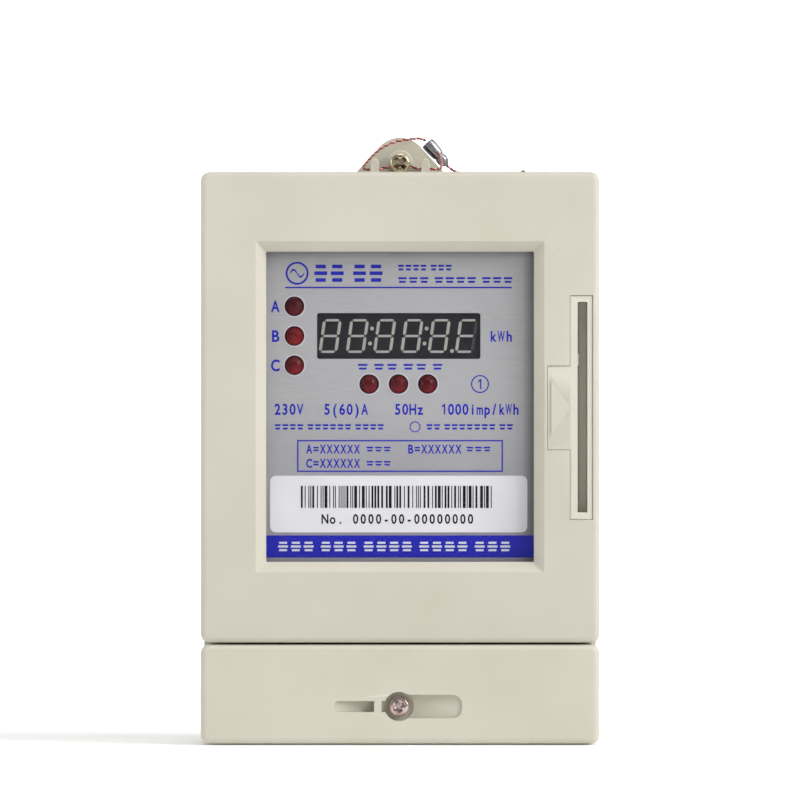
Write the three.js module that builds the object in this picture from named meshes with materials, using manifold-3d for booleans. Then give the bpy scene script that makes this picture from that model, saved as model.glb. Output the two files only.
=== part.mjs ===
// A wall-mounted prepaid electricity meter that takes a credit card-sized smart card.
//
// Frame: millimetres, X to the right, +Z up. The rear face lies on the plane y = 0 and the front
// faces -Y, so a depth d from the wall is y = -d. Everything is built with its height measured
// from the bottom edge, and the whole group is then lowered by half the body's height, which
// puts the origin at the middle of the rear face.

import * as THREE from "three";
import { mergeVertices } from "three/addons/utils/BufferGeometryUtils.js";
import Module from "manifold-3d";

const wasm = await Module();
wasm.setup();

// ---------------------------------------------------------------- driving dimensions

const BODY = { width: 106, height: 152, depth: 70, corner: 2.4 };
const BASE = { depth: 28, wall: 1.8, rear: 2.6, inset: 0.4 };
const COVER_WALL = 2.2;
const FACE_WALL = 2.5; // the wall that faces the user
const GAP = 0.3; // between pieces that touch
const FIT = 0.05; // between pieces that are assembled for good
const SEAM = 26.6; // height of the joint between the two covers
const SEAM_GAP = 0.5;

const WINDOW = { left: -35.6, right: 35.6, bottom: 48.3, top: 130.8, bevel: 2.7 };
const LENS = { rebate: 1.6, thickness: 1.8, front: 66.7 };
const COLLAR = { margin: 3, rear: 62.9 }; // the frame moulded behind the window's bevel
const PLATE = { margin: 1.4, thickness: 0.8, front: 62.8 };
const HOLDER = { margin: 2.8, thickness: 2, front: 61.9 };
const DISPLAY = { left: -22.1, right: 21.4, bottom: 102.3, top: 114.5, depth: 9 };
const LED = { radius: 2.5, flange: 2.9, tip: 64.2, body: 8.6, leg: 0.5, spread: 2.54 };
const STATUS_LEDS = { x: -28.1, heights: [116.3, 108.4, 100.6] };
const ALARM_LEDS = { height: 95.6, xs: [-8.2, -0.4, 7.4] };

// The slot takes an ISO/IEC 7810 ID-1 card on its long edge: 53.98 wide and 0.76 thick.
const SLOT = { left: 47.2, right: 49.8, bottom: 61.5, top: 117.4 };
const INSERT = { left: 45.2, right: 51.2, bottom: 59.6, top: 119.1, rear: 62, front: 69.65 };
const WING = { left: 39.2, bottom: 78.1, top: 100.4 };
const ARROW = { left: 40.2, bottom: 81.9, top: 96.6, front: 69.95 };
const FLAP = { axisX: 47.65, axisDepth: 63.6, reach: 2.05, thickness: 0.8, pin: 0.35, pinLength: 0.8 };
const READER = { left: 43.2, right: 50.7, bottom: 58.6, top: 120.4, rear: 14, front: 61.7 };
const LEVER = { height: 102.2, tall: 3.2, pivotX: 45, pivotDepth: 50, noseDepth: 66, nose: 0.55 };
const LEVER_NOSE = 1.3; // radius
const LEVER_ROOM = 0.35; // clear of the lever above and below
const CONTACTS = { height: 92, depth: 32, pitch: 2.54, rows: 4, reach: 7, stripX: 44 };

const TAB = { halfWidth: 12.7, tipRadius: 7.4, axis: 154.9, thickness: 8 };
const KEYHOLE = { head: 4.2, neck: 2.1, depth: 5.2, drop: 3.5, lip: 2, backHalf: 6 };
const LUG = { width: 2.25, depth: 3, offset: 6.8, top: 156.2, front: 34.7, hole: 153.3 };
const SEAL_SCREW = { head: 2.65, headDepth: 3.2, shank: 1.5, length: 18, front: 34.3 };

const BLOCK = { half: 40, bottom: 3, top: 23.8, rear: 3, front: 46 };
const TERMINAL_PITCH = 18;
const TERMINALS = [-1.5, -0.5, 0.5, 1.5].map((n) => n * TERMINAL_PITCH);
const TERMINAL = { half: 5.4, bottom: 4.2, top: 22.6, rear: 24, front: 43, bore: 3.5, axis: 35 };
const BUS = { rear: 24, front: 26 };
const TONGUE = { half: 4, top: 36 };
const CLAMP_SCREW = { heights: [8.8, 17.2], head: 3.1, headDepth: 2.4, shank: 2, front: 45.6 };
const CABLE_ENTRY = { half: 36, front: 45 };

const COVER_SCREW_AXIS = { x: -0.3, height: 9.9 };
const RECESS = {
  pad: 6.5, // how far the thick pad reaches behind the face
  well: 3.9,
  wellDepth: 4,
  left: { from: -17.6, to: -6.85, half: 1.47, shallow: 0.4, deep: 3.4 },
  notch: { from: -4.9, half: 1.47 },
  right: { to: 16.5, half: 3.15, shallow: 0.4, deep: 3.2 },
};
const CAPTIVE_SCREW = { head: 2.7, front: 68.4, headDepth: 2.2, shank: 1.75, length: 28 };
const RETAINER = { outer: 3.4, thickness: 1, front: 63 };

const POWER_BOARD = { left: -46, right: 41, bottom: 38, top: 142, rear: 10, thickness: 1.6 };
const DISPLAY_BOARD = { left: -38, right: 38, bottom: 52, top: 128, rear: 49.8, thickness: 1.6 };
const RIBBON = { x: -16, half: 9, height: 84, rise: 8, bow: 26, thickness: 1 };
const CAPACITOR = { x: -30, height: 118, radius: 5, length: 18 };
const VARISTOR = { x: -11, height: 122, radius: 7, thickness: 4, stand: 8.2 };
const CHIP = { x: 6, height: 74, half: 6, thickness: 1.6 };
const RELAY = { x: -18, height: 62, rear: 12, width: 36, tall: 28, depth: 17, bus: 9 };
const ARMATURE = { x: -19.5, height: 68, reach: 10.5, half: 6 };
const ARM = { x: -21.4, height: 51, top: 58.2, thickness: 1 };
const TRANSFORMER = {
  x: 20,
  height: 108,
  middle: 24.5, // depth of the core's own middle
  width: 32,
  tall: 27,
  stack: 13,
  limb: 5.5,
  bulge: 5.6, // how far the winding stands out of the core
};

const WIRE = { radius: 0.4, sides: 8, step: 2 };
const SEAL = { x: 10, depth: 5.4, height: 157.9, length: 8.8, radius: 1.9, lean: 48 };

// ---------------------------------------------------------------- colours

const finish = (color, roughness, metalness = 0) =>
  new THREE.MeshStandardMaterial({ color, roughness, metalness });
const ivory = () => finish(0xd3cfc0, 0.5);
const clearPlastic = () =>
  new THREE.MeshStandardMaterial({ color: 0xe8ecec, roughness: 0.1, transparent: true, opacity: 0.3 });
const silverPlate = () => finish(0x9a999f, 0.45, 0.6);
const redLens = () => finish(0x8a0c18, 0.15);
const blackPlastic = () => finish(0x1d1d22, 0.5);
const whitePlastic = () => finish(0xe9e8e2, 0.5);
const greenBoard = () => finish(0x2c6b3a, 0.45);
const brass = () => finish(0xc9a552, 0.35, 1);
const steel = () => finish(0xb9b9bb, 0.3, 1);
const copper = () => finish(0xb87333, 0.35, 1);
const lead = () => finish(0x96979a, 0.5, 0.9);
const bluePlastic = () => finish(0x2a4f8f, 0.45);

// ---------------------------------------------------------------- solids

// A closed three.js geometry as a manifold solid, with doubled points merged, the empty
// triangles at a lathe's poles dropped, and the faces turned outwards.
function solid(geometry) {
  const bare = new THREE.BufferGeometry();
  bare.setAttribute("position", geometry.getAttribute("position").clone());
  bare.setIndex(geometry.index);
  const merged = mergeVertices(bare, 1e-4);
  const position = merged.attributes.position;
  const index = merged.index.array;
  const triangles = [];
  let volume = 0;
  const [a, b, c] = [new THREE.Vector3(), new THREE.Vector3(), new THREE.Vector3()];
  for (let i = 0; i < index.length; i += 3) {
    const [p, q, r] = index.slice(i, i + 3);
    if (p === q || q === r || r === p) continue;
    triangles.push([p, q, r]);
    a.fromBufferAttribute(position, p);
    b.fromBufferAttribute(position, q);
    c.fromBufferAttribute(position, r);
    volume += a.dot(b.cross(c));
  }
  const outward = volume < 0 ? triangles.map(([p, q, r]) => [p, r, q]) : triangles;
  return new wasm.Manifold(
    new wasm.Mesh({
      numProp: 3,
      vertProperties: position.array,
      triVerts: new Uint32Array(outward.flat()),
    }),
  );
}

function geometryOf(shape) {
  const { vertProperties, triVerts } = shape.getMesh();
  const geometry = new THREE.BufferGeometry();
  geometry.setAttribute("position", new THREE.BufferAttribute(vertProperties, 3));
  geometry.setIndex(new THREE.BufferAttribute(triVerts, 1));
  geometry.computeVertexNormals();
  return geometry;
}

const joined = (first, ...rest) => rest.reduce((sum, next) => sum.add(next), first);
const cut = (first, ...rest) => rest.reduce((left, next) => left.subtract(next), first);

// A box from its limits in X, depth from the wall and height.
function block([x0, x1], [d0, d1], [z0, z1]) {
  const box = new THREE.BoxGeometry(x1 - x0, d1 - d0, z1 - z0);
  return solid(box.translate((x0 + x1) / 2, -(d0 + d1) / 2, (z0 + z1) / 2));
}

// An outline drawn in X and height, extruded from one depth to another.
function prism(outline, [d0, d1], curveSegments = 5) {
  const body = new THREE.ExtrudeGeometry(outline, {
    depth: d1 - d0,
    bevelEnabled: false,
    curveSegments,
  });
  return solid(body.translate(0, 0, d0).rotateX(Math.PI / 2));
}

// An outline drawn in depth and height, extruded along X. Its own axes turn to -Y, Z and -X.
const SIDEWAYS = new THREE.Matrix4().makeBasis(
  new THREE.Vector3(0, -1, 0),
  new THREE.Vector3(0, 0, 1),
  new THREE.Vector3(-1, 0, 0),
);
function prismAlongX(outline, [x0, x1], curveSegments = 5) {
  const body = new THREE.ExtrudeGeometry(outline, {
    depth: x1 - x0,
    bevelEnabled: false,
    curveSegments,
  });
  return solid(body.applyMatrix4(SIDEWAYS).translate(x1, 0, 0));
}

// A round bar along the depth.
function rod(x, z, radius, [d0, d1], sides = 12) {
  const bar = new THREE.CylinderGeometry(radius, radius, d1 - d0, sides);
  return solid(bar.translate(x, -(d0 + d1) / 2, z));
}

function rodAlongX([x0, x1], d, z, radius, sides = 12) {
  const bar = new THREE.CylinderGeometry(radius, radius, x1 - x0, sides).rotateZ(Math.PI / 2);
  return solid(bar.translate((x0 + x1) / 2, -d, z));
}

function rodAlongZ(x, d, [z0, z1], radius, sides = 12) {
  const bar = new THREE.CylinderGeometry(radius, radius, z1 - z0, sides).rotateX(Math.PI / 2);
  return solid(bar.translate(x, -d, (z0 + z1) / 2));
}

// A closed profile of [radius, depth] points turned about the depth axis at the origin.
function turned(profile, sides = 12) {
  const points = profile.map(([r, d]) => new THREE.Vector2(r, -d));
  return solid(new THREE.LatheGeometry(points, sides));
}

// An outline of [x, depth] points extruded upwards between two heights.
function slab(points, [z0, z1]) {
  const outline = polygon(points.map(([x, d]) => [x, -d]));
  const body = new THREE.ExtrudeGeometry(outline, { depth: z1 - z0, bevelEnabled: false });
  return solid(body.translate(0, 0, z0));
}

function polygon(points) {
  return new THREE.Shape(points.map(([x, z]) => new THREE.Vector2(x, z)));
}

function roundedRectangle([x0, x1], [z0, z1], radius) {
  const shape = new THREE.Shape();
  shape.absarc(x1 - radius, z1 - radius, radius, 0, Math.PI / 2);
  shape.absarc(x0 + radius, z1 - radius, radius, Math.PI / 2, Math.PI);
  shape.absarc(x0 + radius, z0 + radius, radius, Math.PI, 1.5 * Math.PI);
  shape.absarc(x1 - radius, z0 + radius, radius, 1.5 * Math.PI, 2 * Math.PI);
  return shape;
}

// ---------------------------------------------------------------- assembly

const meter = new THREE.Group();
meter.position.z = -BODY.height / 2;
const groups = {};
for (const name of ["housing", "front", "terminals", "electronics", "reader", "relay", "seal"]) {
  groups[name] = new THREE.Group();
  meter.add(groups[name]);
}

function add(group, name, shape, material, place = [0, 0, 0]) {
  const mesh = new THREE.Mesh(geometryOf(shape), material);
  mesh.name = name;
  const [x, depth, height] = place;
  mesh.position.set(x, -depth, height);
  groups[group].add(mesh);
}

// ---------------------------------------------------------------- rear base

const BASE_HALF = BODY.width / 2 - BASE.inset;
const COVER_START = BASE.depth + GAP;

// The hanger tab: 45 degree sides running into a round tip about the sealing screw's axis.
function tabOutline() {
  const { halfWidth, tipRadius, axis } = TAB;
  const shape = new THREE.Shape();
  const foot = BODY.height - BASE.wall;
  shape.moveTo(-halfWidth, foot);
  shape.lineTo(halfWidth, foot);
  shape.lineTo(halfWidth, BODY.height);
  shape.absarc(0, axis, tipRadius, Math.PI / 4, (3 * Math.PI) / 4);
  shape.lineTo(-halfWidth, BODY.height);
  return shape;
}

// A blind keyhole in the tab's rear face: the wall screw's head goes in below and slides up.
function keyhole() {
  const { head, neck, depth, drop, lip } = KEYHOLE;
  const low = TAB.axis - drop;
  const pocket = [lip, depth]; // behind the lip that the wall screw's head hooks over
  return joined(
    rod(0, low, head, [-1, depth], 20),
    block([-neck, neck], [-1, depth], [low, TAB.axis]),
    rod(0, TAB.axis, neck, [-1, depth], 16),
    rod(0, TAB.axis, head, pocket, 20),
    block([-head, head], pocket, [low, TAB.axis]),
  );
}

const BOARD_POSTS = [
  [-41, 43],
  [36, 43],
  [-41, 137],
  [36, 137],
];
const COVER_SCREWS = [
  [-46, 19.5],
  [46, 19.5],
];
const WALL_HOLES = [
  [-46, 8],
  [46, 8],
];
const WALL_HOLE_RADIUS = 2.3;
const SADDLE = { half: 2.4, foot: 150 }; // the rib that ties the sealing screw's boss to the wall
const SCREW_BOSS_RADIUS = 3.5;
const SEAL_EAR = { half: 3.5, footHalf: 5.6, footHeight: 1.6 };
const POST = { radius: 3.4, pilot: 1.15, pilotDepth: 6 };
const EAR = { half: 4, depth: 2.4 }; // the front cover's lower fixing ears
const COVER_BOSS = { radius: 3.6, pilot: 1.5, pilotDepth: 14 };

function rearBase() {
  const { wall, rear, depth } = BASE;
  const outer = roundedRectangle([-BASE_HALF, BASE_HALF], [0, BODY.height], BODY.corner);
  const inner = [-BASE_HALF + wall, BASE_HALF - wall];
  const tray = prism(outer, [0, depth]);
  const hollow = block(inner, [rear, depth + 1], [wall, BODY.height - wall]);
  const tab = prism(tabOutline(), [0, TAB.thickness], 10);
  const screwBoss = rod(0, TAB.axis, SCREW_BOSS_RADIUS, [TAB.thickness - 1, depth - 1]);
  const saddle = block([-SADDLE.half, SADDLE.half], [TAB.thickness - 1, depth - 1], [
    SADDLE.foot,
    TAB.axis,
  ]);
  const screwTip = SEAL_SCREW.front - SEAL_SCREW.headDepth - SEAL_SCREW.length;
  const screwHole = rod(0, TAB.axis, SEAL_SCREW.shank + 0.1, [screwTip - 0.1, depth], 12);
  const keyholeFloor = KEYHOLE.depth + rear;
  const keyholeBack = block([-KEYHOLE.backHalf, KEYHOLE.backHalf], [rear - 1, keyholeFloor], [
    TAB.axis - KEYHOLE.drop - KEYHOLE.head - rear,
    BODY.height - 1,
  ]);
  const posts = BOARD_POSTS.map(([x, z]) =>
    rod(x, z, POST.radius, [rear - 1, POWER_BOARD.rear - FIT], 10),
  );
  const pilots = BOARD_POSTS.map(([x, z]) =>
    rod(x, z, POST.pilot + 0.1, [POWER_BOARD.rear - POST.pilotDepth, POWER_BOARD.rear + 1], 8),
  );
  const bosses = COVER_SCREWS.map(([x, z]) => rod(x, z, COVER_BOSS.radius, [rear - 1, depth], 12));
  const bossPilots = COVER_SCREWS.map(([x, z]) =>
    rod(x, z, COVER_BOSS.pilot + 0.1, [depth - COVER_BOSS.pilotDepth, depth + 1], 10),
  );
  const wallHoles = WALL_HOLES.map(([x, z]) => rod(x, z, WALL_HOLE_RADIUS, [-1, rear + 1], 12));
  const added = [tab, screwBoss, saddle, keyholeBack, ...posts, ...bosses];
  const shell = joined(cut(tray, hollow), ...added);
  return cut(shell, keyhole(), screwHole, ...pilots, ...bossPilots, ...wallHoles);
}

add("housing", "rear_base", rearBase(), ivory());

// A cross-head screw with its head's front face at depth 0 and its shank running back.
function screw({ head, headDepth, shank, length, recess = 0.9 }) {
  const body = turned([
    [0, 0],
    [head * 0.75, 0],
    [head, -0.25 * headDepth],
    [head, -headDepth],
    [shank, -headDepth],
    [shank, -headDepth - length + shank],
    [0, -headDepth - length],
  ], 10);
  const arm = 0.62 * head;
  const half = 0.16 * head;
  const across = block([-arm, arm], [-recess, 1], [-half, half]);
  const upright = block([-half, half], [-recess, 1], [-arm, arm]);
  return cut(body, across, upright);
}

// ---------------------------------------------------------------- covers

const FACE = BODY.depth;
const EDGE = 1.6; // the rounding of a cover's front edge

// A moulded cover between two heights, open at the rear: its front edge is rounded all round.
function coverShell([z0, z1]) {
  const half = BODY.width / 2;
  const outline = roundedRectangle(
    [-half + EDGE, half - EDGE],
    [z0 + EDGE, z1 - EDGE],
    BODY.corner - EDGE,
  );
  const bulk = new THREE.ExtrudeGeometry(outline, {
    depth: FACE - EDGE - COVER_START,
    bevelThickness: EDGE,
    bevelSize: EDGE,
    bevelSegments: 3,
    curveSegments: 4,
  });
  const outer = solid(bulk.translate(0, 0, COVER_START).rotateX(Math.PI / 2));
  const behind = block([-60, 60], [COVER_START - 5, COVER_START], [z0 - 1, z1 + 1]);
  const hollow = block(
    [-half + COVER_WALL, half - COVER_WALL],
    [COVER_START - 1, FACE - FACE_WALL],
    [z0 + COVER_WALL, z1 - COVER_WALL],
  );
  return cut(outer, behind, hollow);
}

const grown = ({ left, right, bottom, top }, by) => [
  [left - by, right + by],
  [bottom - by, top + by],
];

// The window's opening with its 45 degree bevel, which ends flush with the face.
function windowCutter() {
  const outline = roundedRectangle(...grown(WINDOW, 0), 0.3);
  const bevelled = new THREE.ExtrudeGeometry(outline, {
    depth: 1,
    bevelThickness: WINDOW.bevel,
    bevelSize: WINDOW.bevel,
    bevelSegments: 1,
    curveSegments: 1,
  });
  const bevel = solid(bevelled.translate(0, 0, FACE).rotateX(Math.PI / 2));
  const through = prism(outline, [COLLAR.rear - 1, FACE], 1);
  return joined(bevel, through);
}

function insertOutline(clearance) {
  const { left, right, bottom, top } = INSERT;
  return polygon([
    [left - clearance, bottom - clearance],
    [right + clearance, bottom - clearance],
    [right + clearance, top + clearance],
    [left - clearance, top + clearance],
    [left - clearance, WING.top + clearance],
    [WING.left - clearance, WING.top + clearance],
    [WING.left - clearance, WING.bottom - clearance],
    [left - clearance, WING.bottom - clearance],
  ]);
}

// A lug on the top wall with a hole for the seal wire.
function wireLug(x) {
  const rear = LUG.front - LUG.depth;
  const round = LUG.width / 2;
  const outline = new THREE.Shape();
  outline.moveTo(x - round, BODY.height - 1);
  outline.lineTo(x + round, BODY.height - 1);
  outline.absarc(x, LUG.top - round, round, 0, Math.PI);
  const post = prism(outline, [rear, LUG.front]);
  const hole = rodAlongX([x - 3, x + 3], (rear + LUG.front) / 2, LUG.hole, 0.75, 8);
  return cut(post, hole);
}

// The ear that the sealing screw clamps to the base's boss.
function sealEar() {
  const { half, footHalf, footHeight } = SEAL_EAR;
  const plate = [COVER_START, SEAL_SCREW.front - SEAL_SCREW.headDepth - FIT];
  const foot = block([-footHalf, footHalf], plate, [BODY.height - 1, BODY.height + footHeight]);
  const round = rod(0, TAB.axis, half, plate);
  const web = block([-half, half], plate, [BODY.height - 1, TAB.axis]);
  const hole = rod(0, TAB.axis, SEAL_SCREW.shank + 0.2, [COVER_START - 1, FACE], 12);
  return cut(joined(foot, round, web), hole);
}

function frontCover() {
  const shell = coverShell([SEAM + SEAM_GAP / 2, BODY.height]);
  const collar = prism(
    roundedRectangle(...grown(WINDOW, COLLAR.margin), 1),
    [COLLAR.rear, FACE - 1],
    2,
  );
  const rebate = prism(
    roundedRectangle(...grown(WINDOW, LENS.rebate), 0.5),
    [COLLAR.rear - 1, LENS.front + FIT],
    2,
  );
  const insertHole = prism(insertOutline(FIT), [INSERT.rear - 1, FACE + 1]);
  const ears = COVER_SCREWS.map(([x, z]) =>
    block([x - EAR.half, x + EAR.half], [COVER_START, COVER_START + EAR.depth], [z - 4, SEAM + 2]),
  );
  const earHoles = COVER_SCREWS.map(([x, z]) =>
    rod(x, z, COVER_BOSS.pilot + 0.3, [COVER_START - 1, COVER_START + 4], 10),
  );
  const body = joined(shell, collar, wireLug(-LUG.offset), wireLug(LUG.offset), sealEar(), ...ears);
  return cut(body, windowCutter(), rebate, insertHole, ...earHoles);
}

add("housing", "front_cover", frontCover(), ivory());

// The sealing screw's head is drilled across for the seal wire.
function sealScrew() {
  return cut(screw(SEAL_SCREW), rodAlongX([-4, 4], -1.7, -1, 0.75, 8));
}

add("housing", "seal_screw", sealScrew(), steel(), [0, SEAL_SCREW.front, TAB.axis]);

COVER_SCREWS.forEach(([x, z], n) => {
  const shape = screw({ head: 3, headDepth: 2.2, shank: COVER_BOSS.pilot, length: 12 });
  const front = COVER_START + EAR.depth + FIT + 2.2;
  add("housing", `cover_screw_${n + 1}`, shape, steel(), [x, front, z]);
});

// ---------------------------------------------------------------- window, nameplate and indicators

function sheet(margin, front, thickness, corner) {
  return prism(roundedRectangle(...grown(WINDOW, margin), corner), [front - thickness, front], 2);
}

const displayHole = (by, depths) => prism(roundedRectangle(...grown(DISPLAY, by), 0.6), depths, 2);
const LED_PLACES = [
  ...STATUS_LEDS.heights.map((height, n) => [`status_led_${"abc"[n]}`, STATUS_LEDS.x, height]),
  ...ALARM_LEDS.xs.map((x, n) => [`alarm_led_${n + 1}`, x, ALARM_LEDS.height]),
];
const ledHoles = (radius, depths) => LED_PLACES.map(([, x, z]) => rod(x, z, radius, depths, 12));

function nameplate() {
  const depths = [PLATE.front - 2, PLATE.front + 1];
  const blank = sheet(PLATE.margin, PLATE.front, PLATE.thickness, 0.6);
  return cut(blank, displayHole(0, depths), ...ledHoles(LED.radius + 0.15, depths));
}

const HOLDER_POST = { radius: 3, pilot: 1.25 };
const HOLDER_POSTS = [
  [-33, 58],
  [33, 58],
  [-33, 122],
  [33, 122],
];

function nameplateHolder() {
  const { margin, thickness, front } = HOLDER;
  const rear = front - thickness;
  const board = DISPLAY_BOARD.rear + DISPLAY_BOARD.thickness;
  const depths = [board - 1, front + 1];
  const { radius, pilot } = HOLDER_POST;
  const posts = HOLDER_POSTS.map(([x, z]) => rod(x, z, radius, [board + FIT, front - 1], 10));
  const pilots = HOLDER_POSTS.map(([x, z]) => rod(x, z, pilot, [board - 1, front - 4], 8));
  const plate = sheet(margin, front, thickness, 1);
  return cut(
    joined(plate, ...posts),
    displayHole(1, [rear - 1, front + 1]),
    ...ledHoles(LED.flange + 0.2, depths),
    ...pilots,
  );
}

// A 5 mm LED with its tip at the origin: dome, barrel, flange and two legs.
function led() {
  const { radius, flange, body, leg, spread, tip } = LED;
  const dome = [0, 1, 2, 3].map((i) => {
    const angle = (i / 3) * (Math.PI / 2);
    return [radius * Math.sin(angle), radius * Math.cos(angle) - radius];
  });
  const barrel = turned(
    [...dome, [radius, 1 - body], [flange, 1 - body], [flange, -body], [0, -body]],
    10,
  );
  const reach = DISPLAY_BOARD.rear + DISPLAY_BOARD.thickness + FIT - tip;
  const legs = [-spread / 2, spread / 2].map((x) =>
    block([x - leg / 2, x + leg / 2], [reach, 0.5 - body], [-leg / 2, leg / 2]),
  );
  return joined(barrel, ...legs);
}

add("front", "window_lens", sheet(LENS.rebate - 0.1, LENS.front, LENS.thickness, 0.4), clearPlastic());
add("front", "nameplate", nameplate(), silverPlate());
add("front", "nameplate_holder", nameplateHolder(), whitePlastic());
for (const [name, x, z] of LED_PLACES) add("front", name, led(), redLens(), [x, LED.tip, z]);

function digitDisplay() {
  const front = PLATE.front - PLATE.thickness - FIT;
  return prism(roundedRectangle(...grown(DISPLAY, 0.6), 0.4), [front - DISPLAY.depth, front], 2);
}
add("front", "digit_display", digitDisplay(), blackPlastic());

// ---------------------------------------------------------------- card slot and reader

const slotThrough = (depths) =>
  block([SLOT.left, SLOT.right], depths, [SLOT.bottom, SLOT.top]);
const leverHeights = (room) => [
  LEVER.height - LEVER.tall / 2 - room,
  LEVER.height + LEVER.tall / 2 + room,
];

// The plate round the slot sits a little below the face and carries a raised arrow.
function cardSlotInsert() {
  const { rear, front, left } = INSERT;
  const body = prism(insertOutline(-FIT), [rear, front]);
  const arrow = prism(
    polygon([
      [ARROW.left, ARROW.bottom],
      [left, (ARROW.bottom + ARROW.top) / 2],
      [ARROW.left, ARROW.top],
    ]),
    [front - 1, ARROW.front],
  );
  const leverPassage = block(
    [left - 1, SLOT.left + 1],
    [rear - 1, LEVER.noseDepth + LEVER_NOSE + LEVER_ROOM],
    leverHeights(LEVER_ROOM),
  );
  const pinHoles = rodAlongZ(
    FLAP.axisX,
    FLAP.axisDepth,
    [SLOT.bottom - FLAP.pinLength - 0.2, SLOT.top + FLAP.pinLength + 0.2],
    FLAP.pin + 0.1,
    12,
  );
  return cut(joined(body, arrow), slotThrough([rear - 1, FACE + 1]), leverPassage, pinHoles);
}

// The sprung flap that keeps dust out of the slot, about its hinge along the slot's left side.
function cardSlotFlap() {
  const { reach, thickness, pin, pinLength } = FLAP;
  const round = thickness / 2;
  const low = SLOT.bottom + 0.1;
  const high = SLOT.top - 0.1;
  const hub = rodAlongZ(0, 0, [low, high], round, 12);
  const leaf = block([0, reach], [-round, round], [low, high]);
  const pins = rodAlongZ(0, 0, [low - pinLength, high + pinLength], pin, 12);
  return joined(leaf, hub, pins);
}

function cardReaderHousing() {
  const { left, right, bottom, top, rear, front } = READER;
  const body = block([left, right], [rear, front], [bottom, top]);
  const sideways = [left - 1, SLOT.left + 1];
  const leverPocket = block(sideways, [LEVER.pivotDepth - 3, front + 1], leverHeights(LEVER_ROOM));
  const contactHalf = (CONTACTS.rows * CONTACTS.pitch) / 2 + 1.2;
  const contactWindow = block(
    sideways,
    [CONTACTS.depth - CONTACTS.reach - 1, CONTACTS.depth + CONTACTS.reach + 1],
    [CONTACTS.height - contactHalf, CONTACTS.height + contactHalf],
  );
  const pinHoles = rodAlongZ(LEVER.pivotX, LEVER.pivotDepth, leverHeights(LEVER_ROOM + 2), 0.85, 12);
  return cut(body, slotThrough([rear + 3, front + 1]), leverPocket, contactWindow, pinHoles);
}

// One spring of the contacts: from its foot on the strip it bows into the card's path and back.
function contactSpring(side, z) {
  const { depth, reach, stripX } = CONTACTS;
  const foot = depth + side * (reach - 1);
  const tip = depth + side * 1.2;
  const crest = (foot + tip) / 2;
  const bow = polygon([
    [stripX + 0.5, -foot],
    [stripX + 3.6, -crest],
    [stripX + 2.6, -tip],
    [stripX + 2.1, -tip],
    [stripX + 3, -crest],
    [stripX + 0.5, -(foot - side * 0.6)],
  ]);
  const spring = new THREE.ExtrudeGeometry(bow, { depth: 1, bevelEnabled: false });
  return solid(spring.translate(0, 0, z - 0.5));
}

function cardContacts() {
  const { height, depth, pitch, rows, reach, stripX } = CONTACTS;
  const half = (rows * pitch) / 2;
  const strip = block(
    [stripX, stripX + 0.8],
    [depth - reach, depth + reach],
    [height - half, height + half],
  );
  const springs = [];
  for (let row = 0; row < rows; row += 1) {
    const z = height - half + (row + 0.5) * pitch;
    springs.push(contactSpring(-1, z), contactSpring(1, z));
  }
  return joined(strip, ...springs);
}

// The lever that feels the card, about its pivot: a hub with a pin and an arm with a round nose.
function cardDetectLever() {
  const { tall, pivotX, pivotDepth, noseDepth, nose } = LEVER;
  const half = tall / 2;
  const reach = noseDepth - pivotDepth;
  const noseX = SLOT.left + nose - LEVER_NOSE - pivotX;
  const hub = rodAlongZ(0, 0, [-half, half], 1.5, 14);
  const pin = rodAlongZ(0, 0, [-half - 1.8, half + 1.8], 0.7, 12);
  const tip = rodAlongZ(noseX, reach, [-half, half], LEVER_NOSE, 18);
  const arm = slab(
    [
      [-0.6, 0],
      [0.9, 0],
      [noseX + 0.6, reach],
      [noseX - 0.6, reach],
    ],
    [-half, half],
  );
  return joined(hub, pin, tip, arm);
}

add("reader", "card_slot_insert", cardSlotInsert(), ivory());
add("reader", "card_slot_flap", cardSlotFlap(), ivory(), [FLAP.axisX, FLAP.axisDepth, 0]);
add("reader", "card_reader_housing", cardReaderHousing(), blackPlastic());
add("reader", "card_contacts", cardContacts(), brass());
add("reader", "card_detect_lever", cardDetectLever(), whitePlastic(), [
  LEVER.pivotX,
  LEVER.pivotDepth,
  LEVER.height,
]);

// ---------------------------------------------------------------- boards

function board({ left, right, bottom, top, rear, thickness }, holes) {
  const blank = block([left, right], [rear, rear + thickness], [bottom, top]);
  return cut(blank, ...holes.map(([x, z]) => rod(x, z, 1.5, [rear - 1, rear + 3], 10)));
}

add("electronics", "power_board", board(POWER_BOARD, BOARD_POSTS), greenBoard());
add("electronics", "display_board", board(DISPLAY_BOARD, HOLDER_POSTS), greenBoard());

const boardScrew = () => screw({ head: 2.4, headDepth: 1.6, shank: 1.1, length: 5, recess: 0.6 });
const POWER_FRONT = POWER_BOARD.rear + POWER_BOARD.thickness;
BOARD_POSTS.forEach(([x, z], n) => {
  add("electronics", `board_screw_${n + 1}`, boardScrew(), steel(), [x, POWER_FRONT + 1.6 + FIT, z]);
});

// The ribbon that joins the two boards, bowed once between their headers.
function boardRibbon() {
  const { x, half, height, rise, bow, thickness } = RIBBON;
  const start = new THREE.Vector2(POWER_FRONT + FIT, height);
  const end = new THREE.Vector2(DISPLAY_BOARD.rear - FIT, height + rise);
  const line = new THREE.CubicBezierCurve(
    start,
    new THREE.Vector2(start.x + bow, start.y - 2),
    new THREE.Vector2(end.x - bow, end.y + 2),
    end,
  ).getPoints(12);
  const shape = new THREE.Shape([
    ...line.map((p) => new THREE.Vector2(p.x, p.y - thickness / 2)),
    ...line.reverse().map((p) => new THREE.Vector2(p.x, p.y + thickness / 2)),
  ]);
  return prismAlongX(shape, [x - half, x + half]);
}
add("electronics", "board_ribbon", boardRibbon(), whitePlastic());

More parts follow.
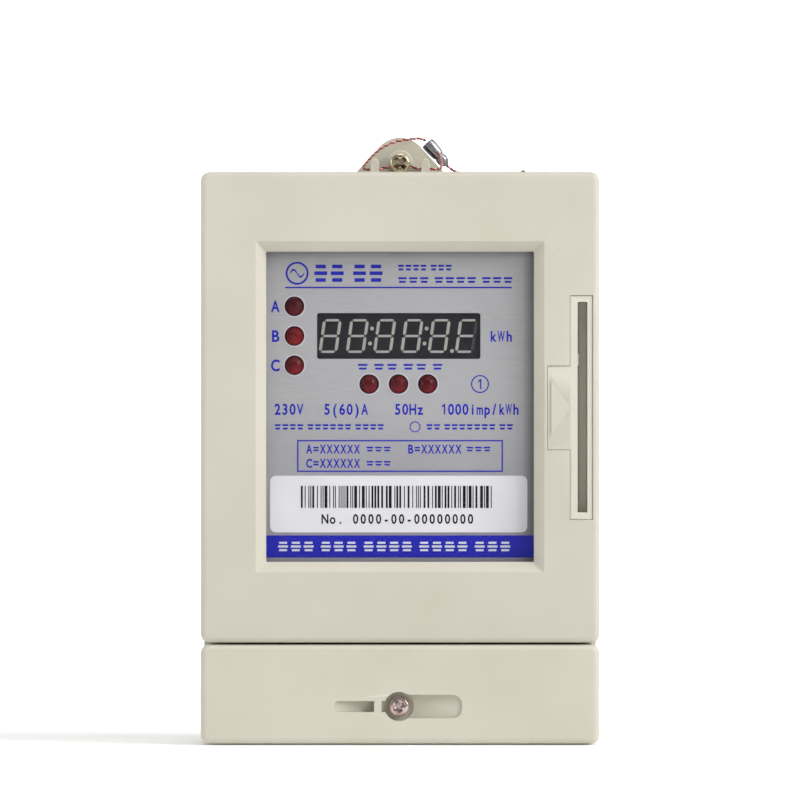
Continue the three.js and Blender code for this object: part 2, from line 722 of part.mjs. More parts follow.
function transformerCore() {
  const { x, height, width, tall, stack, limb, middle: mid } = TRANSFORMER;
  const plate = block(
    [x - width / 2, x + width / 2],
    [mid - stack / 2, mid + stack / 2],
    [height - tall / 2, height + tall / 2],
  );
  const slots = [-1, 1].map((side) => {
    const edge = x + side * (width / 2 - limb);
    const inner = x + side * limb * 0.9;
    return block(
      [Math.min(edge, inner), Math.max(edge, inner)],
      [mid - stack, mid + stack],
      [height - tall / 2 + limb, height + tall / 2 - limb],
    );
  });
  return cut(plate, ...slots);
}

// The winding fills the core's windows and stands out in front of and behind its middle limb.
function transformerWinding() {
  const { x, height, width, tall, stack, limb, bulge, middle: mid } = TRANSFORMER;
  const half = width / 2 - limb - GAP;
  const reach = stack / 2 + bulge;
  const heights = [height - tall / 2 + limb + GAP, height + tall / 2 - limb - GAP];
  const outer = block([x - half, x + half], [mid - reach, mid + reach], heights);
  const hole = block(
    [x - limb * 0.9 - GAP, x + limb * 0.9 + GAP],
    [mid - stack / 2 - GAP, mid + stack / 2 + GAP],
    [heights[0] - 1, heights[1] + 1],
  );
  return cut(outer, hole);
}

add("electronics", "transformer_core", transformerCore(), steel());
add("electronics", "transformer_winding", transformerWinding(), copper());

// An electrolytic capacitor standing on the power board, its top at depth 0.
function capacitor({ radius, length }) {
  return turned([
    [0, 0],
    [radius * 0.8, 0],
    [radius, -0.8],
    [radius, 3 - length],
    [radius - 0.4, 2.4 - length],
    [radius, 1.8 - length],
    [radius, -length],
    [0, -length],
  ]);
}
add("electronics", "smoothing_capacitor", capacitor(CAPACITOR), blackPlastic(), [
  CAPACITOR.x,
  POWER_FRONT + FIT + CAPACITOR.length,
  CAPACITOR.height,
]);

function varistor() {
  const { x, height, radius, thickness, stand } = VARISTOR;
  const span = [x - thickness / 2, x + thickness / 2];
  return rodAlongX(span, POWER_FRONT + stand, height, radius, 20);
}
add("electronics", "surge_varistor", varistor(), bluePlastic());

// The chip lies against the display board's rear face.
function controlChip() {
  const { x, height, half, thickness } = CHIP;
  const front = DISPLAY_BOARD.rear - FIT;
  return block([x - half, x + half], [front - thickness, front], [height - half, height + half]);
}
add("electronics", "control_chip", controlChip(), blackPlastic());

// ---------------------------------------------------------------- latching relay

const RELAY_FRONT = RELAY.rear + RELAY.depth;
const RELAY_MIDDLE = RELAY.rear + 8; // depth of the moving pieces' own middle
const RELAY_WALL = 1.2;
const RELAY_LID = 1.5;
const COIL = { offset: 12.5, half: 9, radius: 4.6, flange: 5.2, flangeHeight: 1, core: 1.8 };
const BUTTON = { radius: 1.5, thickness: 1.2, drop: 2.5 }; // a contact button below the strip's end

function relayBase() {
  const { x, height, rear, width, tall } = RELAY;
  const span = [x - width / 2, x + width / 2];
  const rise = [height - tall / 2, height + tall / 2];
  const tray = block(span, [rear, RELAY_FRONT - RELAY_LID], rise);
  const hollow = block(
    [span[0] + RELAY_WALL, span[1] - RELAY_WALL],
    [rear + 1.5, RELAY_FRONT],
    [rise[0] + RELAY_WALL, rise[1] - RELAY_WALL],
  );
  const busSlots = [-1, 1].map((side) => {
    const middle = x + side * RELAY.bus;
    return block([middle - 4.2, middle + 4.2], [BUS.rear - 0.4, BUS.front + 0.4], [
      rise[0] - 1,
      rise[0] + 3,
    ]);
  });
  const armaturePost = rod(ARMATURE.x, ARMATURE.height, 1, [rear + 1, BUS.front], 12);
  const armPost = rod(ARM.x, ARM.height, 0.7, [rear + 1, BUS.front], 10);
  return joined(cut(tray, hollow, ...busSlots), armaturePost, armPost);
}

function relayCover() {
  const { x, height, width, tall } = RELAY;
  const lid = [RELAY_FRONT - RELAY_LID + FIT, RELAY_FRONT];
  const inner = [width / 2 - RELAY_WALL - FIT, tall / 2 - RELAY_WALL - FIT];
  const plate = block([x - width / 2, x + width / 2], lid, [height - tall / 2, height + tall / 2]);
  const plug = block(
    [x - inner[0], x + inner[0]],
    [RELAY_FRONT - 2.2, RELAY_FRONT - 0.5],
    [height - inner[1], height + inner[1]],
  );
  return joined(plate, plug);
}

// The armature rocks on its post and its finger leans on the contact arm.
function relayArmature() {
  const { reach, half } = ARMATURE;
  const depths = [-3.5, 3.5];
  const beam = block([-half, half], depths, [-2, 2]);
  const finger = block([-1, 1], [-2, 2], [-reach, 0]);
  return cut(joined(beam, finger), rod(0, 0, 1.25, [-5, 5], 12));
}

function relayContactArm() {
  const half = ARM.thickness / 2;
  const rise = ARM.top - ARM.height;
  const hub = rod(0, 0, 1.5, [-2, 2], 14);
  const strip = block([-half, half], [-2, 2], [0, rise]);
  const { radius, thickness, drop } = BUTTON;
  const button = rodAlongX([-half - thickness, -half + 0.2], 0, rise - drop, radius, 12);
  return cut(joined(hub, strip, button), rod(0, 0, 0.95, [-5, 5], 12));
}

// The fixed contact stands in line with the arm's button, which rests against it when closed.
function relayFixedContact() {
  const { radius, thickness, drop } = BUTTON;
  const front = ARM.x - ARM.thickness / 2 - thickness - 0.1;
  const heights = [RELAY.height - RELAY.tall / 2 + RELAY_WALL + 0.2, ARM.top];
  const strip = block([front - 2.1, front - 1], [RELAY_MIDDLE - 2, RELAY_MIDDLE + 2], heights);
  const button = rodAlongX([front - thickness, front], RELAY_MIDDLE, ARM.top - drop, radius, 12);
  return joined(strip, button);
}

function relayCoil() {
  const { offset, half, radius, flange, flangeHeight, core } = COIL;
  const x = ARMATURE.x + offset;
  const [low, high] = [RELAY.height - half, RELAY.height + half];
  const bar = (heights, r) => rodAlongZ(x, RELAY_MIDDLE, heights, r, 12);
  const flanges = [low - flangeHeight, high].map((z) => bar([z, z + flangeHeight], flange));
  const ends = [low - 2 * flangeHeight, high + 2 * flangeHeight];
  return joined(bar([low, high], radius), ...flanges, bar(ends, core));
}

add("relay", "relay_base", relayBase(), blackPlastic());
add("relay", "relay_cover", relayCover(), blackPlastic());
add("relay", "relay_coil", relayCoil(), copper());
add("relay", "relay_armature", relayArmature(), whitePlastic(), [
  ARMATURE.x,
  RELAY_MIDDLE,
  ARMATURE.height,
]);
add("relay", "relay_contact_arm", relayContactArm(), copper(), [ARM.x, RELAY_MIDDLE, ARM.height]);
add("relay", "relay_fixed_contact", relayFixedContact(), copper());

// ---------------------------------------------------------------- terminals and busbars

const COVER_POST = { radius: 3.6, reach: 8, pilotDepth: 10 }; // takes the terminal cover's screw
const BUS_HEIGHTS = [TONGUE.top + GAP, RELAY.height - RELAY.tall / 2 + 1.5];
const busbar = (x0, x1, heights) => block([x0, x1], [BUS.rear, BUS.front], heights);

// The shunt is a wide link with a waist, where the resistance strip is welded in.
function currentShunt() {
  const [low, high] = BUS_HEIGHTS;
  const middle = (low + high) / 2;
  const link = busbar(TERMINALS[0] - 4, TERMINALS[0] + 4, BUS_HEIGHTS);
  const waists = [-1, 1].map((side) => rod(TERMINALS[0] + side * 5.4, middle, 2.4, [20, 30], 14));
  return cut(link, ...waists);
}

function neutralLink() {
  const heights = [TONGUE.top + GAP, TONGUE.top + 6];
  return busbar(TERMINALS[2] - 4, TERMINALS[3] + 4, heights);
}

const clampPlaces = (x) => CLAMP_SCREW.heights.map((height) => [x, height]);

function terminalBlock() {
  const { half, bottom, top, rear, front } = BLOCK;
  const body = block([-half, half], [rear, front], [bottom, top]);
  const { x: postX, height: postHeight } = COVER_SCREW_AXIS;
  const { radius, reach, pilotDepth } = COVER_POST;
  const post = rod(postX, postHeight, radius, [front - 1, front + reach], 14);
  const pilotSpan = [front - pilotDepth, front + reach + 1];
  const postPilot = rod(postX, postHeight, CAPTIVE_SCREW.shank + 0.2, pilotSpan, 12);
  const lightening = block([-half + 2, half - 2], [rear - 1, TERMINAL.rear - 3], [bottom + 2, top - 2]);
  const cuts = TERMINALS.flatMap((x) => {
    const { half: side, bottom: low, top: high, rear: back, front: face } = TERMINAL;
    const pocket = block([x - side - FIT, x + side + FIT], [back - FIT, face + FIT], [low - FIT, high + FIT]);
    const mouth = rodAlongZ(x, TERMINAL.axis, [bottom - 1, low + 1], 4.1);
    const slit = block(
      [x - TONGUE.half - 0.2, x + TONGUE.half + 0.2],
      [BUS.rear - 0.2, BUS.front + 0.2],
      [high - 1, top + 1],
    );
    const holes = clampPlaces(x).map(([cx, cz]) => rod(cx, cz, CLAMP_SCREW.head + 0.3, [face, front + 1]));
    return [pocket, mouth, slit, ...holes];
  });
  return cut(joined(body, post), lightening, postPilot, ...cuts);
}

// A brass terminal about x = 0: a cable bore from below, two threaded holes and a tongue behind.
function terminal() {
  const { half, bottom, top, rear, front, bore, axis } = TERMINAL;
  const body = block([-half, half], [rear, front], [bottom, top]);
  const tongue = block([-TONGUE.half, TONGUE.half], [BUS.rear, BUS.front], [top - 1, TONGUE.top]);
  const cableBore = rodAlongZ(0, axis, [bottom - 1, top - 2], bore, 12);
  const threads = clampPlaces(0).map(([x, z]) => rod(x, z, CLAMP_SCREW.shank + 0.15, [axis, front + 1]));
  return cut(joined(body, tongue), cableBore, ...threads);
}

// A clamp screw with its head's front face at depth 0, slotted across.
function clampScrew() {
  const { head, headDepth, shank, front } = CLAMP_SCREW;
  const tip = TERMINAL.axis + 2.6 - front;
  const body = turned([
    [0, 0],
    [head - 0.3, 0],
    [head, -0.3],
    [head, -headDepth],
    [shank, -headDepth],
    [shank, tip + 0.5],
    [shank - 0.5, tip],
    [0, tip],
  ]);
  return cut(body, block([-head - 1, head + 1], [-1.1, 1], [-0.45, 0.45]));
}

add("terminals", "terminal_block", terminalBlock(), blackPlastic());
const terminalNames = ["line_in", "line_out", "neutral_in", "neutral_out"];
TERMINALS.forEach((x, n) => {
  add("terminals", `terminal_${terminalNames[n]}`, terminal(), brass(), [x, 0, 0]);
  clampPlaces(x).forEach(([cx, cz], level) => {
    const name = `clamp_screw_${n + 1}_${level ? "upper" : "lower"}`;
    add("terminals", name, clampScrew(), steel(), [cx, CLAMP_SCREW.front, cz]);
  });
});
add("terminals", "current_shunt", currentShunt(), copper());
add("terminals", "load_busbar", busbar(TERMINALS[1] - 4, TERMINALS[1] + 4, BUS_HEIGHTS), copper());
add("terminals", "neutral_link", neutralLink(), copper());

// ---------------------------------------------------------------- terminal cover

// The sunk channel across the screw: a ramped groove each side of its well. The seal wire goes
// down the left groove and under a bridge to the screw.
function recessCutters() {
  const { x, height } = COVER_SCREW_AXIS;
  const { left, right, notch, well, wellDepth } = RECESS;
  const out = FACE + 1;
  const leftPlan = prism(
    roundedRectangle([left.from, left.to], [height - left.half, height + left.half], 1.4),
    [FACE - 6, out],
  );
  const leftRamp = slab(
    [
      [left.from - 1, out],
      [left.from - 1, FACE - left.shallow],
      [left.to + 1, FACE - left.deep],
      [left.to + 1, out],
    ],
    [height - 3, height + 3],
  );
  const rightPlan = prism(
    roundedRectangle([x, right.to], [height - right.half, height + right.half], 2.6),
    [FACE - 6, out],
  );
  const rightRamp = slab(
    [
      [x, out],
      [x, FACE - right.deep],
      [x + well, FACE - right.deep],
      [right.to + 1, FACE - right.shallow],
      [right.to + 1, out],
    ],
    [height - 4, height + 4],
  );
  const notchCut = block([notch.from, x], [FACE - left.deep, out], [
    height - notch.half,
    height + notch.half,
  ]);
  const tunnel = block([left.to - 1, notch.from + 1], [FACE - left.deep, FACE - 1.6], [
    height - notch.half + 0.3,
    height + notch.half - 0.3,
  ]);
  return [
    leftPlan.intersect(leftRamp),
    rightPlan.intersect(rightRamp),
    notchCut,
    tunnel,
    rod(x, height, well, [FACE - wellDepth, out], 20),
    rod(x, height, CAPTIVE_SCREW.shank + 0.3, [50, out], 14),
  ];
}

function terminalCover() {
  const { x, height } = COVER_SCREW_AXIS;
  const shell = coverShell([0, SEAM - SEAM_GAP / 2]);
  const pad = block([-20, 19], [FACE - RECESS.pad, FACE - 1.5], [height - 5, height + 5]);
  const entry = block([-CABLE_ENTRY.half, CABLE_ENTRY.half], [COVER_START - 1, CABLE_ENTRY.front], [
    -1,
    COVER_WALL + 1,
  ]);
  const earNotches = COVER_SCREWS.map(([earX]) =>
    block([earX - EAR.half - 0.4, earX + EAR.half + 0.4], [COVER_START - 1, COVER_START + EAR.depth + 0.4], [
      SEAM - 5,
      SEAM + 1,
    ]),
  );
  return cut(joined(shell, pad), entry, ...earNotches, ...recessCutters());
}

function retainer() {
  const { outer, thickness, front } = RETAINER;
  const ring = rod(0, 0, outer, [-thickness, 0], 16);
  return cut(ring, rod(0, 0, CAPTIVE_SCREW.shank + FIT, [-thickness - 1, 1], 16));
}

add("terminals", "terminal_cover", terminalCover(), ivory());
add("terminals", "terminal_cover_screw", screw(CAPTIVE_SCREW), steel(), [
  COVER_SCREW_AXIS.x,
  CAPTIVE_SCREW.front,
  COVER_SCREW_AXIS.height,
]);
add("terminals", "screw_retainer", retainer(), whitePlastic(), [
  COVER_SCREW_AXIS.x,
  RETAINER.front,
  COVER_SCREW_AXIS.height,
]);

// ---------------------------------------------------------------- seal

// The wire's route as [x, depth, height] points: out of the seal, over the tab's front, through
// the left lug, the screw's head and the right lug, and back into the seal.
const LOOP_ROUTE = [
  [6.8, 5.4, 161.5],
  [5.9, 6.7, 161.9],
  [4.6, 8.3, 162],
  [3, 9.8, 161.8],
  [1, 11.6, 161.5],
  [-1.2, 13.8, 161],
  [-3.4, 16.4, 160.1],
  [-5.4, 19.4, 158.9],
  [-7.1, 22.8, 157.4],
  [-8.5, 26.4, 155.8],
  [-9.5, 29.8, 154.5],
  [-9.9, 32, 153.7],
  [-9.2, 33.1, 153.3],
  [-8, 33.2, 153.3],
  [-6.8, 33.2, 153.3],
  [-5.4, 33.1, 153.4],
  [-3.9, 32.8, 153.7],
  [-2.4, 32.6, 153.9],
  [0, 32.6, 153.9],
  [2.4, 32.6, 153.9],
  [3.9, 32.8, 153.7],
  [5.4, 33.1, 153.4],
  [6.8, 33.2, 153.3],
  [8.2, 33.1, 153.3],
  [9.4, 32.4, 153.3],
  [10.2, 30.8, 153.3],
  [10.8, 28.2, 153.5],
  [11.1, 25, 154.1],
  [11.2, 21, 155],
  [11.1, 17, 156],
  [10.9, 13.5, 157],
  [10.6, 10.8, 157.8],
  [10.3, 9, 158.2],
  [10.1, 7.6, 158.2],
];

// The loose end, from the seal down to the top face and along it.
const TAIL_ROUTE = [
  [13.2, 5.4, 154.35],
  [14.5, 5.5, 153.4],
  [16.2, 5.8, 152.8],
  [18.6, 6.4, 152.6],
  [21.5, 7.4, 152.55],
  [24.5, 8.6, 152.5],
  [27.5, 9.6, 152.5],
  [30.2, 10.4, 152.55],
  [32.4, 10.9, 152.8],
  [33.7, 11.1, 153.2],
];

function wire(route) {
  const points = route.map(([x, depth, height]) => new THREE.Vector3(x, -depth, height));
  const curve = new THREE.CatmullRomCurve3(points, false, "centripetal");
  const section = new THREE.Shape();
  section.absarc(0, 0, WIRE.radius, 0, 2 * Math.PI);
  return solid(
    new THREE.ExtrudeGeometry(section, {
      extrudePath: curve,
      steps: Math.round(curve.getLength() / WIRE.step),
      curveSegments: WIRE.sides / 2, // the section's circle takes two points for each
      bevelEnabled: false,
    }),
  );
}

// A crimped lead seal lying along X about its own middle.
function leadSeal() {
  const { length, radius } = SEAL;
  const half = length / 2;
  const profile = [
    [0, half],
    [radius * 0.65, half - 0.2],
    [radius, half - 1.4],
    [radius, 0.6],
    [radius * 0.86, 0],
    [radius, -0.6],
    [radius, 1.2 - half],
    [radius * 0.7, -half],
    [0, -half],
  ];
  return solid(
    new THREE.LatheGeometry(profile.map(([r, a]) => new THREE.Vector2(r, a)), 12).rotateZ(Math.PI / 2),
  );
}

add("seal", "seal_wire_loop", wire(LOOP_ROUTE), copper());
add("seal", "seal_wire_tail", wire(TAIL_ROUTE), copper());
add("seal", "lead_seal", leadSeal(), lead(), [SEAL.x, SEAL.depth, SEAL.height]);
meter.getObjectByName("lead_seal").rotation.y = THREE.MathUtils.degToRad(SEAL.lean);

export default meter;
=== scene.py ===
"""The looks of a wall-mounted prepaid electricity meter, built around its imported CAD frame.

Shapes are drawn in millimetres as (x, depth, height): x to the right, depth out of the wall and
height above the bottom edge. place() turns them into the frame's metres.
"""

import math
import random
from collections import namedtuple

import bmesh
import bpy
from mathutils import Matrix, Vector


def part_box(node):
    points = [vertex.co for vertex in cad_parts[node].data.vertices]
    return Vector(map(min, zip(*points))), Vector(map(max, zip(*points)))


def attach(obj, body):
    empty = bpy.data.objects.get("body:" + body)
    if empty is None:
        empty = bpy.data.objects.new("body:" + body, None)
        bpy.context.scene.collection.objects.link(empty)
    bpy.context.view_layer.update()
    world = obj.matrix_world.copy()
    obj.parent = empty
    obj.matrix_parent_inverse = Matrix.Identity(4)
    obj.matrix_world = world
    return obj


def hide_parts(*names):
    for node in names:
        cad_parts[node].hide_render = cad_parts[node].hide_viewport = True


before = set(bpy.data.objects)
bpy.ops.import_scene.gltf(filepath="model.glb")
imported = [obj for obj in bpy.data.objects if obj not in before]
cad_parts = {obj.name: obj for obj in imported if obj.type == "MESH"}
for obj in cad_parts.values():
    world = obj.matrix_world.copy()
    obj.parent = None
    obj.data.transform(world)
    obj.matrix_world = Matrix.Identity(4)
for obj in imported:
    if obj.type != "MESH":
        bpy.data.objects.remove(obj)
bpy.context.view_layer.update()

MM = 0.001
BODY = "meter_body"
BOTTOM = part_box("rear_base")[0].z
TO_FRAME = Matrix.Translation((0, 0, BOTTOM)) @ Matrix.Scale(MM, 4)
Limits = namedtuple("Limits", "x0 x1 d0 d1 z0 z1")


def limits(node):
    """A CAD node's box in millimetres: x, depth from the wall, height above the bottom edge."""
    low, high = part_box(node)
    return Limits(
        low.x / MM,
        high.x / MM,
        -high.y / MM,
        -low.y / MM,
        (low.z - BOTTOM) / MM,
        (high.z - BOTTOM) / MM,
    )


# ------------------------------------------------------------------ sizes, in millimetres

TERMINAL_COVER = limits("terminal_cover")
LENS = limits("window_lens")
PLATE = limits("nameplate")
DISPLAY = limits("digit_display")

HALF_WIDTH = 53.0
BODY_TOP = 152.0
FRONT_COVER_FOOT = 26.85  # its fixing ears reach lower
FACE = TERMINAL_COVER.d1
COVER_START = TERMINAL_COVER.d0
CORNER = 2.4
EDGE = 1.6  # rounding of a cover's front edge
FLAT_RIM = 0.5  # flat strip next to a rounding, which keeps the face beyond it evenly shaded
COVER_WALL = 2.2
FACE_WALL = 2.5
EAR_X = 46.0  # middle of the front cover's fixing ears
EAR_HOLE = (19.5, 1.8)  # height and radius of their holes

WINDOW = (-35.6, 35.6, 48.3, 130.8)
WINDOW_BEVEL = 2.7
LENS_REBATE = 1.6
COLLAR_MARGIN = 3.0
COLLAR_REAR = 62.9

INSERT_X = (45.2, 51.2)
INSERT_Z = (59.6, 119.1)
WING = (39.2, 78.1, 100.4)  # left edge, foot and top

TAB_AXIS = 154.9
SCREW_BORE = 1.7
LUG_X = 6.8
LUG_WIDTH = 2.25
LUG_TOP = 156.2
LUG_DEPTHS = (31.7, 34.7)
LUG_HOLE = (0.75, 33.2, 153.3)  # radius, depth and height

DISPLAY_HOLE = (-22.1, 21.4, 102.3, 114.5)
LED_NODES = [f"status_led_{n}" for n in "abc"] + [f"alarm_led_{n}" for n in "123"]
LED_RADIUS = 2.5
LED_LENGTH = 8.6
LED_FLANGE = 2.9
LEG_HALF = 0.25
LEG_X = 1.27

SCREW_X = -0.3
SCREW_Z = 9.9
WELL_RADIUS = 3.9
GROOVE_HALF = 1.47  # half the height of the narrow channel, at the screw's left
CHANNEL_HALF = 3.15  # half the height of the wide one, at its right
RECESS_DEPTH = 3.2

LEVEL_FACE = 0.9998  # how nearly a face has to lie along an axis to be shaded flat
LEVEL_AREA = 2e-6  # square metres

# ------------------------------------------------------------------ building solids


def rounded(x0, x1, z0, z1, radius, steps=8):
    """A rectangle's outline as (x, z) points, its corners rounded."""
    outline = []
    corners = ((x1, z1, 0), (x0, z1, 90), (x0, z0, 180), (x1, z0, 270))
    for cx, cz, start in corners:
        middle_x = cx - radius if cx == x1 else cx + radius
        middle_z = cz - radius if cz == z1 else cz + radius
        for step in range(steps + 1):
            angle = math.radians(start + 90 * step / steps)
            outline.append((middle_x + radius * math.cos(angle), middle_z + radius * math.sin(angle)))
    return outline


def arc(cx, cz, radius, start, end, steps=12):
    """Points of an arc from one angle to another, in degrees."""
    points = []
    for step in range(steps + 1):
        angle = math.radians(start + (end - start) * step / steps)
        points.append((cx + radius * math.cos(angle), cz + radius * math.sin(angle)))
    return points


def circle(cx, cz, radius, steps=32):
    return arc(cx, cz, radius, 0, 360 - 360 / steps, steps - 1)


def at_depth(outline, depth):
    return [Vector((x, -depth, z)) for x, z in outline]


def mesh_of(bm, name="part"):
    bmesh.ops.recalc_face_normals(bm, faces=bm.faces)
    mesh = bpy.data.meshes.new(name)
    bm.to_mesh(mesh)
    bm.free()
    return mesh


def loft(rings, closed=False):
    """A skin through rings of equally many points, capped unless it closes on itself."""
    bm = bmesh.new()
    loops = [[bm.verts.new(point) for point in ring] for ring in rings]
    pairs = list(zip(loops, loops[1:]))
    if closed:
        pairs.append((loops[-1], loops[0]))
    for first, second in pairs:
        for i, vertex in enumerate(first):
            j = (i + 1) % len(first)
            bm.faces.new((vertex, first[j], second[j], second[i]))
    if not closed:
        bm.faces.new(loops[0])
        bm.faces.new(loops[-1])
    return mesh_of(bm)


def prism(outline, d0, d1):
    return loft([at_depth(outline, d0), at_depth(outline, d1)])


def box(x0, x1, d0, d1, z0, z1):
    return prism([(x0, z0), (x1, z0), (x1, z1), (x0, z1)], d0, d1)


def prism_up(outline, z0, z1):
    """An outline of (x, depth) points, drawn out upwards."""
    return loft([[Vector((x, -d, z)) for x, d in outline] for z in (z0, z1)])


def lathe(profile, x, z, sides=48):
    """A profile of (radius, depth) points turned about the depth axis through (x, z)."""
    bm = bmesh.new()
    loops = []
    for radius, depth in profile:
        if radius < 1e-6:
            loops.append([bm.verts.new((x, -depth, z))])
        else:
            loops.append([bm.verts.new(p) for p in at_depth(circle(x, z, radius, sides), depth)])
    for first, second in zip(loops, loops[1:]):
        for i in range(sides):
            j = (i + 1) % sides
            corners = [first[i % len(first)], first[j % len(first)]]
            corners += [second[j % len(second)], second[i % len(second)]]
            unique = list(dict.fromkeys(corners))
            if len(unique) > 2:
                bm.faces.new(unique)
    return mesh_of(bm)


def pin(x, z, radius, d0, d1, sides):
    """A plain cylinder from one depth to another, mostly to cut a hole with."""
    return lathe([(0, d0), (radius, d0), (radius, d1), (0, d1)], x, z, sides)


def along_x(mesh, x, depth, z):
    """A lathe made about the origin, turned to lie along X and moved to a point."""
    mesh.transform(Matrix.Translation((x, -depth, z)) @ Matrix.Rotation(math.radians(-90), 4, "Z"))
    return mesh


def combine(mesh, others, operation):
    """A boolean of one mesh with several."""
    scene = bpy.context.scene.collection
    target = bpy.data.objects.new("boolean", mesh)
    scene.objects.link(target)
    made = [target]
    for other in others:
        tool = bpy.data.objects.new("tool", other)
        scene.objects.link(tool)
        made.append(tool)
        modifier = target.modifiers.new("boolean", "BOOLEAN")
        modifier.operation = operation
        modifier.solver = "EXACT"
        modifier.object = tool
    graph = bpy.context.evaluated_depsgraph_get()
    result = bpy.data.meshes.new_from_object(target.evaluated_get(graph))
    for item in made:
        bpy.data.objects.remove(item)
    return result


def carve(mesh, *cutters):
    return combine(mesh, cutters, "DIFFERENCE")


def fuse(mesh, *others):
    return combine(mesh, others, "UNION")


def merged(*meshes):
    """Several meshes as one, left as separate shells."""
    bm = bmesh.new()
    for mesh in meshes:
        bm.from_mesh(mesh)
    result = bpy.data.meshes.new("merged")
    bm.to_mesh(result)
    bm.free()
    return result


def soften(mesh, width, angle=35, segments=2, where=None):
    """Rounds the edges that are sharper than angle; where() picks among them by their middle."""
    bm = bmesh.new()
    bm.from_mesh(mesh)
    bmesh.ops.remove_doubles(bm, verts=bm.verts, dist=1e-4)
    bmesh.ops.dissolve_limit(bm, angle_limit=math.radians(1), verts=bm.verts, edges=bm.edges)
    sharp = []
    for edge in bm.edges:
        if len(edge.link_faces) != 2 or edge.calc_face_angle(0) < math.radians(angle):
            continue
        middle = (edge.verts[0].co + edge.verts[1].co) / 2
        if where is None or where(middle):
            sharp.append(edge)
    bmesh.ops.bevel(
        bm,
        geom=sharp,
        offset=width,
        offset_type="OFFSET",
        segments=segments,
        profile=0.5,
        affect="EDGES",
        clamp_overlap=True,
    )
    return mesh_of(bm)


def shade_evenly(mesh, smooth):
    """Smooth shading in which large level faces stay flat right up to the roundings beside them."""
    for polygon in mesh.polygons:
        polygon.use_smooth = True
    mesh.set_sharp_from_angle(angle=smooth)
    level = {}
    for polygon in mesh.polygons:
        upright = max(abs(value) for value in polygon.normal) > LEVEL_FACE
        if upright and polygon.area > LEVEL_AREA:
            for vertex in polygon.vertices:
                level.setdefault(vertex, []).append(polygon.normal.copy())
    normals = [corner.vector.copy() for corner in mesh.corner_normals]
    for polygon in mesh.polygons:
        for loop in polygon.loop_indices:
            beside = level.get(mesh.loops[loop].vertex_index, [])
            beside = [normal for normal in beside if normal.angle(polygon.normal) < smooth]
            if beside:
                normals[loop] = max(beside, key=polygon.normal.dot)
    mesh.normals_split_custom_set(normals)


def place(name, mesh, material, node=None, body=BODY, smooth=30):
    """Makes a mesh, drawn in millimetres, a piece that rides on a body and may replace a CAD node."""
    mesh.name = name
    mesh.transform(TO_FRAME)
    shade_evenly(mesh, math.radians(smooth))
    mesh.materials.clear()
    mesh.materials.append(material)
    piece = bpy.data.objects.new(name, mesh)
    bpy.context.scene.collection.objects.link(piece)
    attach(piece, body)
    if node:
        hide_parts(node)
    return piece


def softened(node, width, segments):
    """A CAD node's own shape with its sharp edges rounded."""
    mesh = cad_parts[node].data.copy()
    mesh.transform(TO_FRAME.inverted())
    return soften(mesh, width, 50, segments)


# ------------------------------------------------------------------ camera, light and floor

VIEW_HEIGHT = 91.35
VIEW_DISTANCE = 3543.0  # from the front face
FOCAL_LENGTH = 600
SENSOR_WIDTH = 36

# The studio's sizes are in metres.
CLIP_END = 40
LIGHT_DISTANCE = 4.8
LIGHT_SIZE = 2.7
FLOOR_FRONT = -6.0
FLOOR_BACK = 4.0  # where the floor starts to curve up
FLOOR_SIDE = 7.0
FLOOR_DROP = 0.0004  # below the meter's foot
BACKDROP_TOP = 7.0
BACKDROP_STEPS = 12
SKY = 0.2  # strength of the even light from all round


def camera():
    data = bpy.data.cameras.new("camera")
    data.lens = FOCAL_LENGTH
    data.sensor_width = SENSOR_WIDTH
    data.clip_end = CLIP_END
    eye = bpy.data.objects.new("camera", data)
    eye.location = TO_FRAME @ Vector((0, -FACE - VIEW_DISTANCE, VIEW_HEIGHT))
    eye.rotation_euler = (math.radians(90), 0, 0)
    bpy.context.scene.collection.objects.link(eye)
    bpy.context.scene.camera = eye


def softbox(name, azimuth, elevation, watts, size=LIGHT_SIZE):
    """A square area light aimed at the meter's middle; azimuth 0 is in front, 90 at the right."""
    turn, rise = math.radians(azimuth), math.radians(elevation)
    level = LIGHT_DISTANCE * math.cos(rise)
    position = Vector((level * math.sin(turn), -level * math.cos(turn), LIGHT_DISTANCE * math.sin(rise)))
    data = bpy.data.lights.new(name, "AREA")
    data.size = size
    data.energy = watts
    lamp = bpy.data.objects.new(name, data)
    lamp.location = position
    lamp.rotation_euler = position.to_track_quat("Z", "Y").to_euler()
    bpy.context.scene.collection.objects.link(lamp)


def studio():
    softbox("key", 58, 28, 180)
    softbox("left", -78, 10, 84)
    softbox("top", 10, 68, 92)
    softbox("spark", 42, 32, 10, 0.45)
    world = bpy.data.worlds.new("studio")
    world.use_nodes = True
    world.node_tree.nodes["Background"].inputs["Color"].default_value = (1, 1, 1, 1)
    world.node_tree.nodes["Background"].inputs["Strength"].default_value = SKY
    bpy.context.scene.world = world
    bpy.context.scene.view_settings.view_transform = "Standard"


def floor(material):
    """A pale floor that curves up into a backdrop."""
    profile = [(FLOOR_FRONT, 0.0), (FLOOR_BACK, 0.0)]
    for step in range(1, BACKDROP_STEPS + 1):
        angle = math.radians(90 * step / BACKDROP_STEPS)
        profile.append((FLOOR_BACK + math.sin(angle), 1 - math.cos(angle)))
    profile.append((FLOOR_BACK + 1, BACKDROP_TOP))
    bm = bmesh.new()
    rows = []
    for y, z in profile:
        rows.append([bm.verts.new((x, y, BOTTOM + z - FLOOR_DROP)) for x in (-FLOOR_SIDE, FLOOR_SIDE)])
    for first, second in zip(rows, rows[1:]):
        bm.faces.new((first[0], first[1], second[1], second[0]))
    mesh = mesh_of(bm, "floor")
    for polygon in mesh.polygons:
        polygon.use_smooth = True
    mesh.materials.append(material)
    ground = bpy.data.objects.new("floor", mesh)
    bpy.context.scene.collection.objects.link(ground)


# ------------------------------------------------------------------ finishes


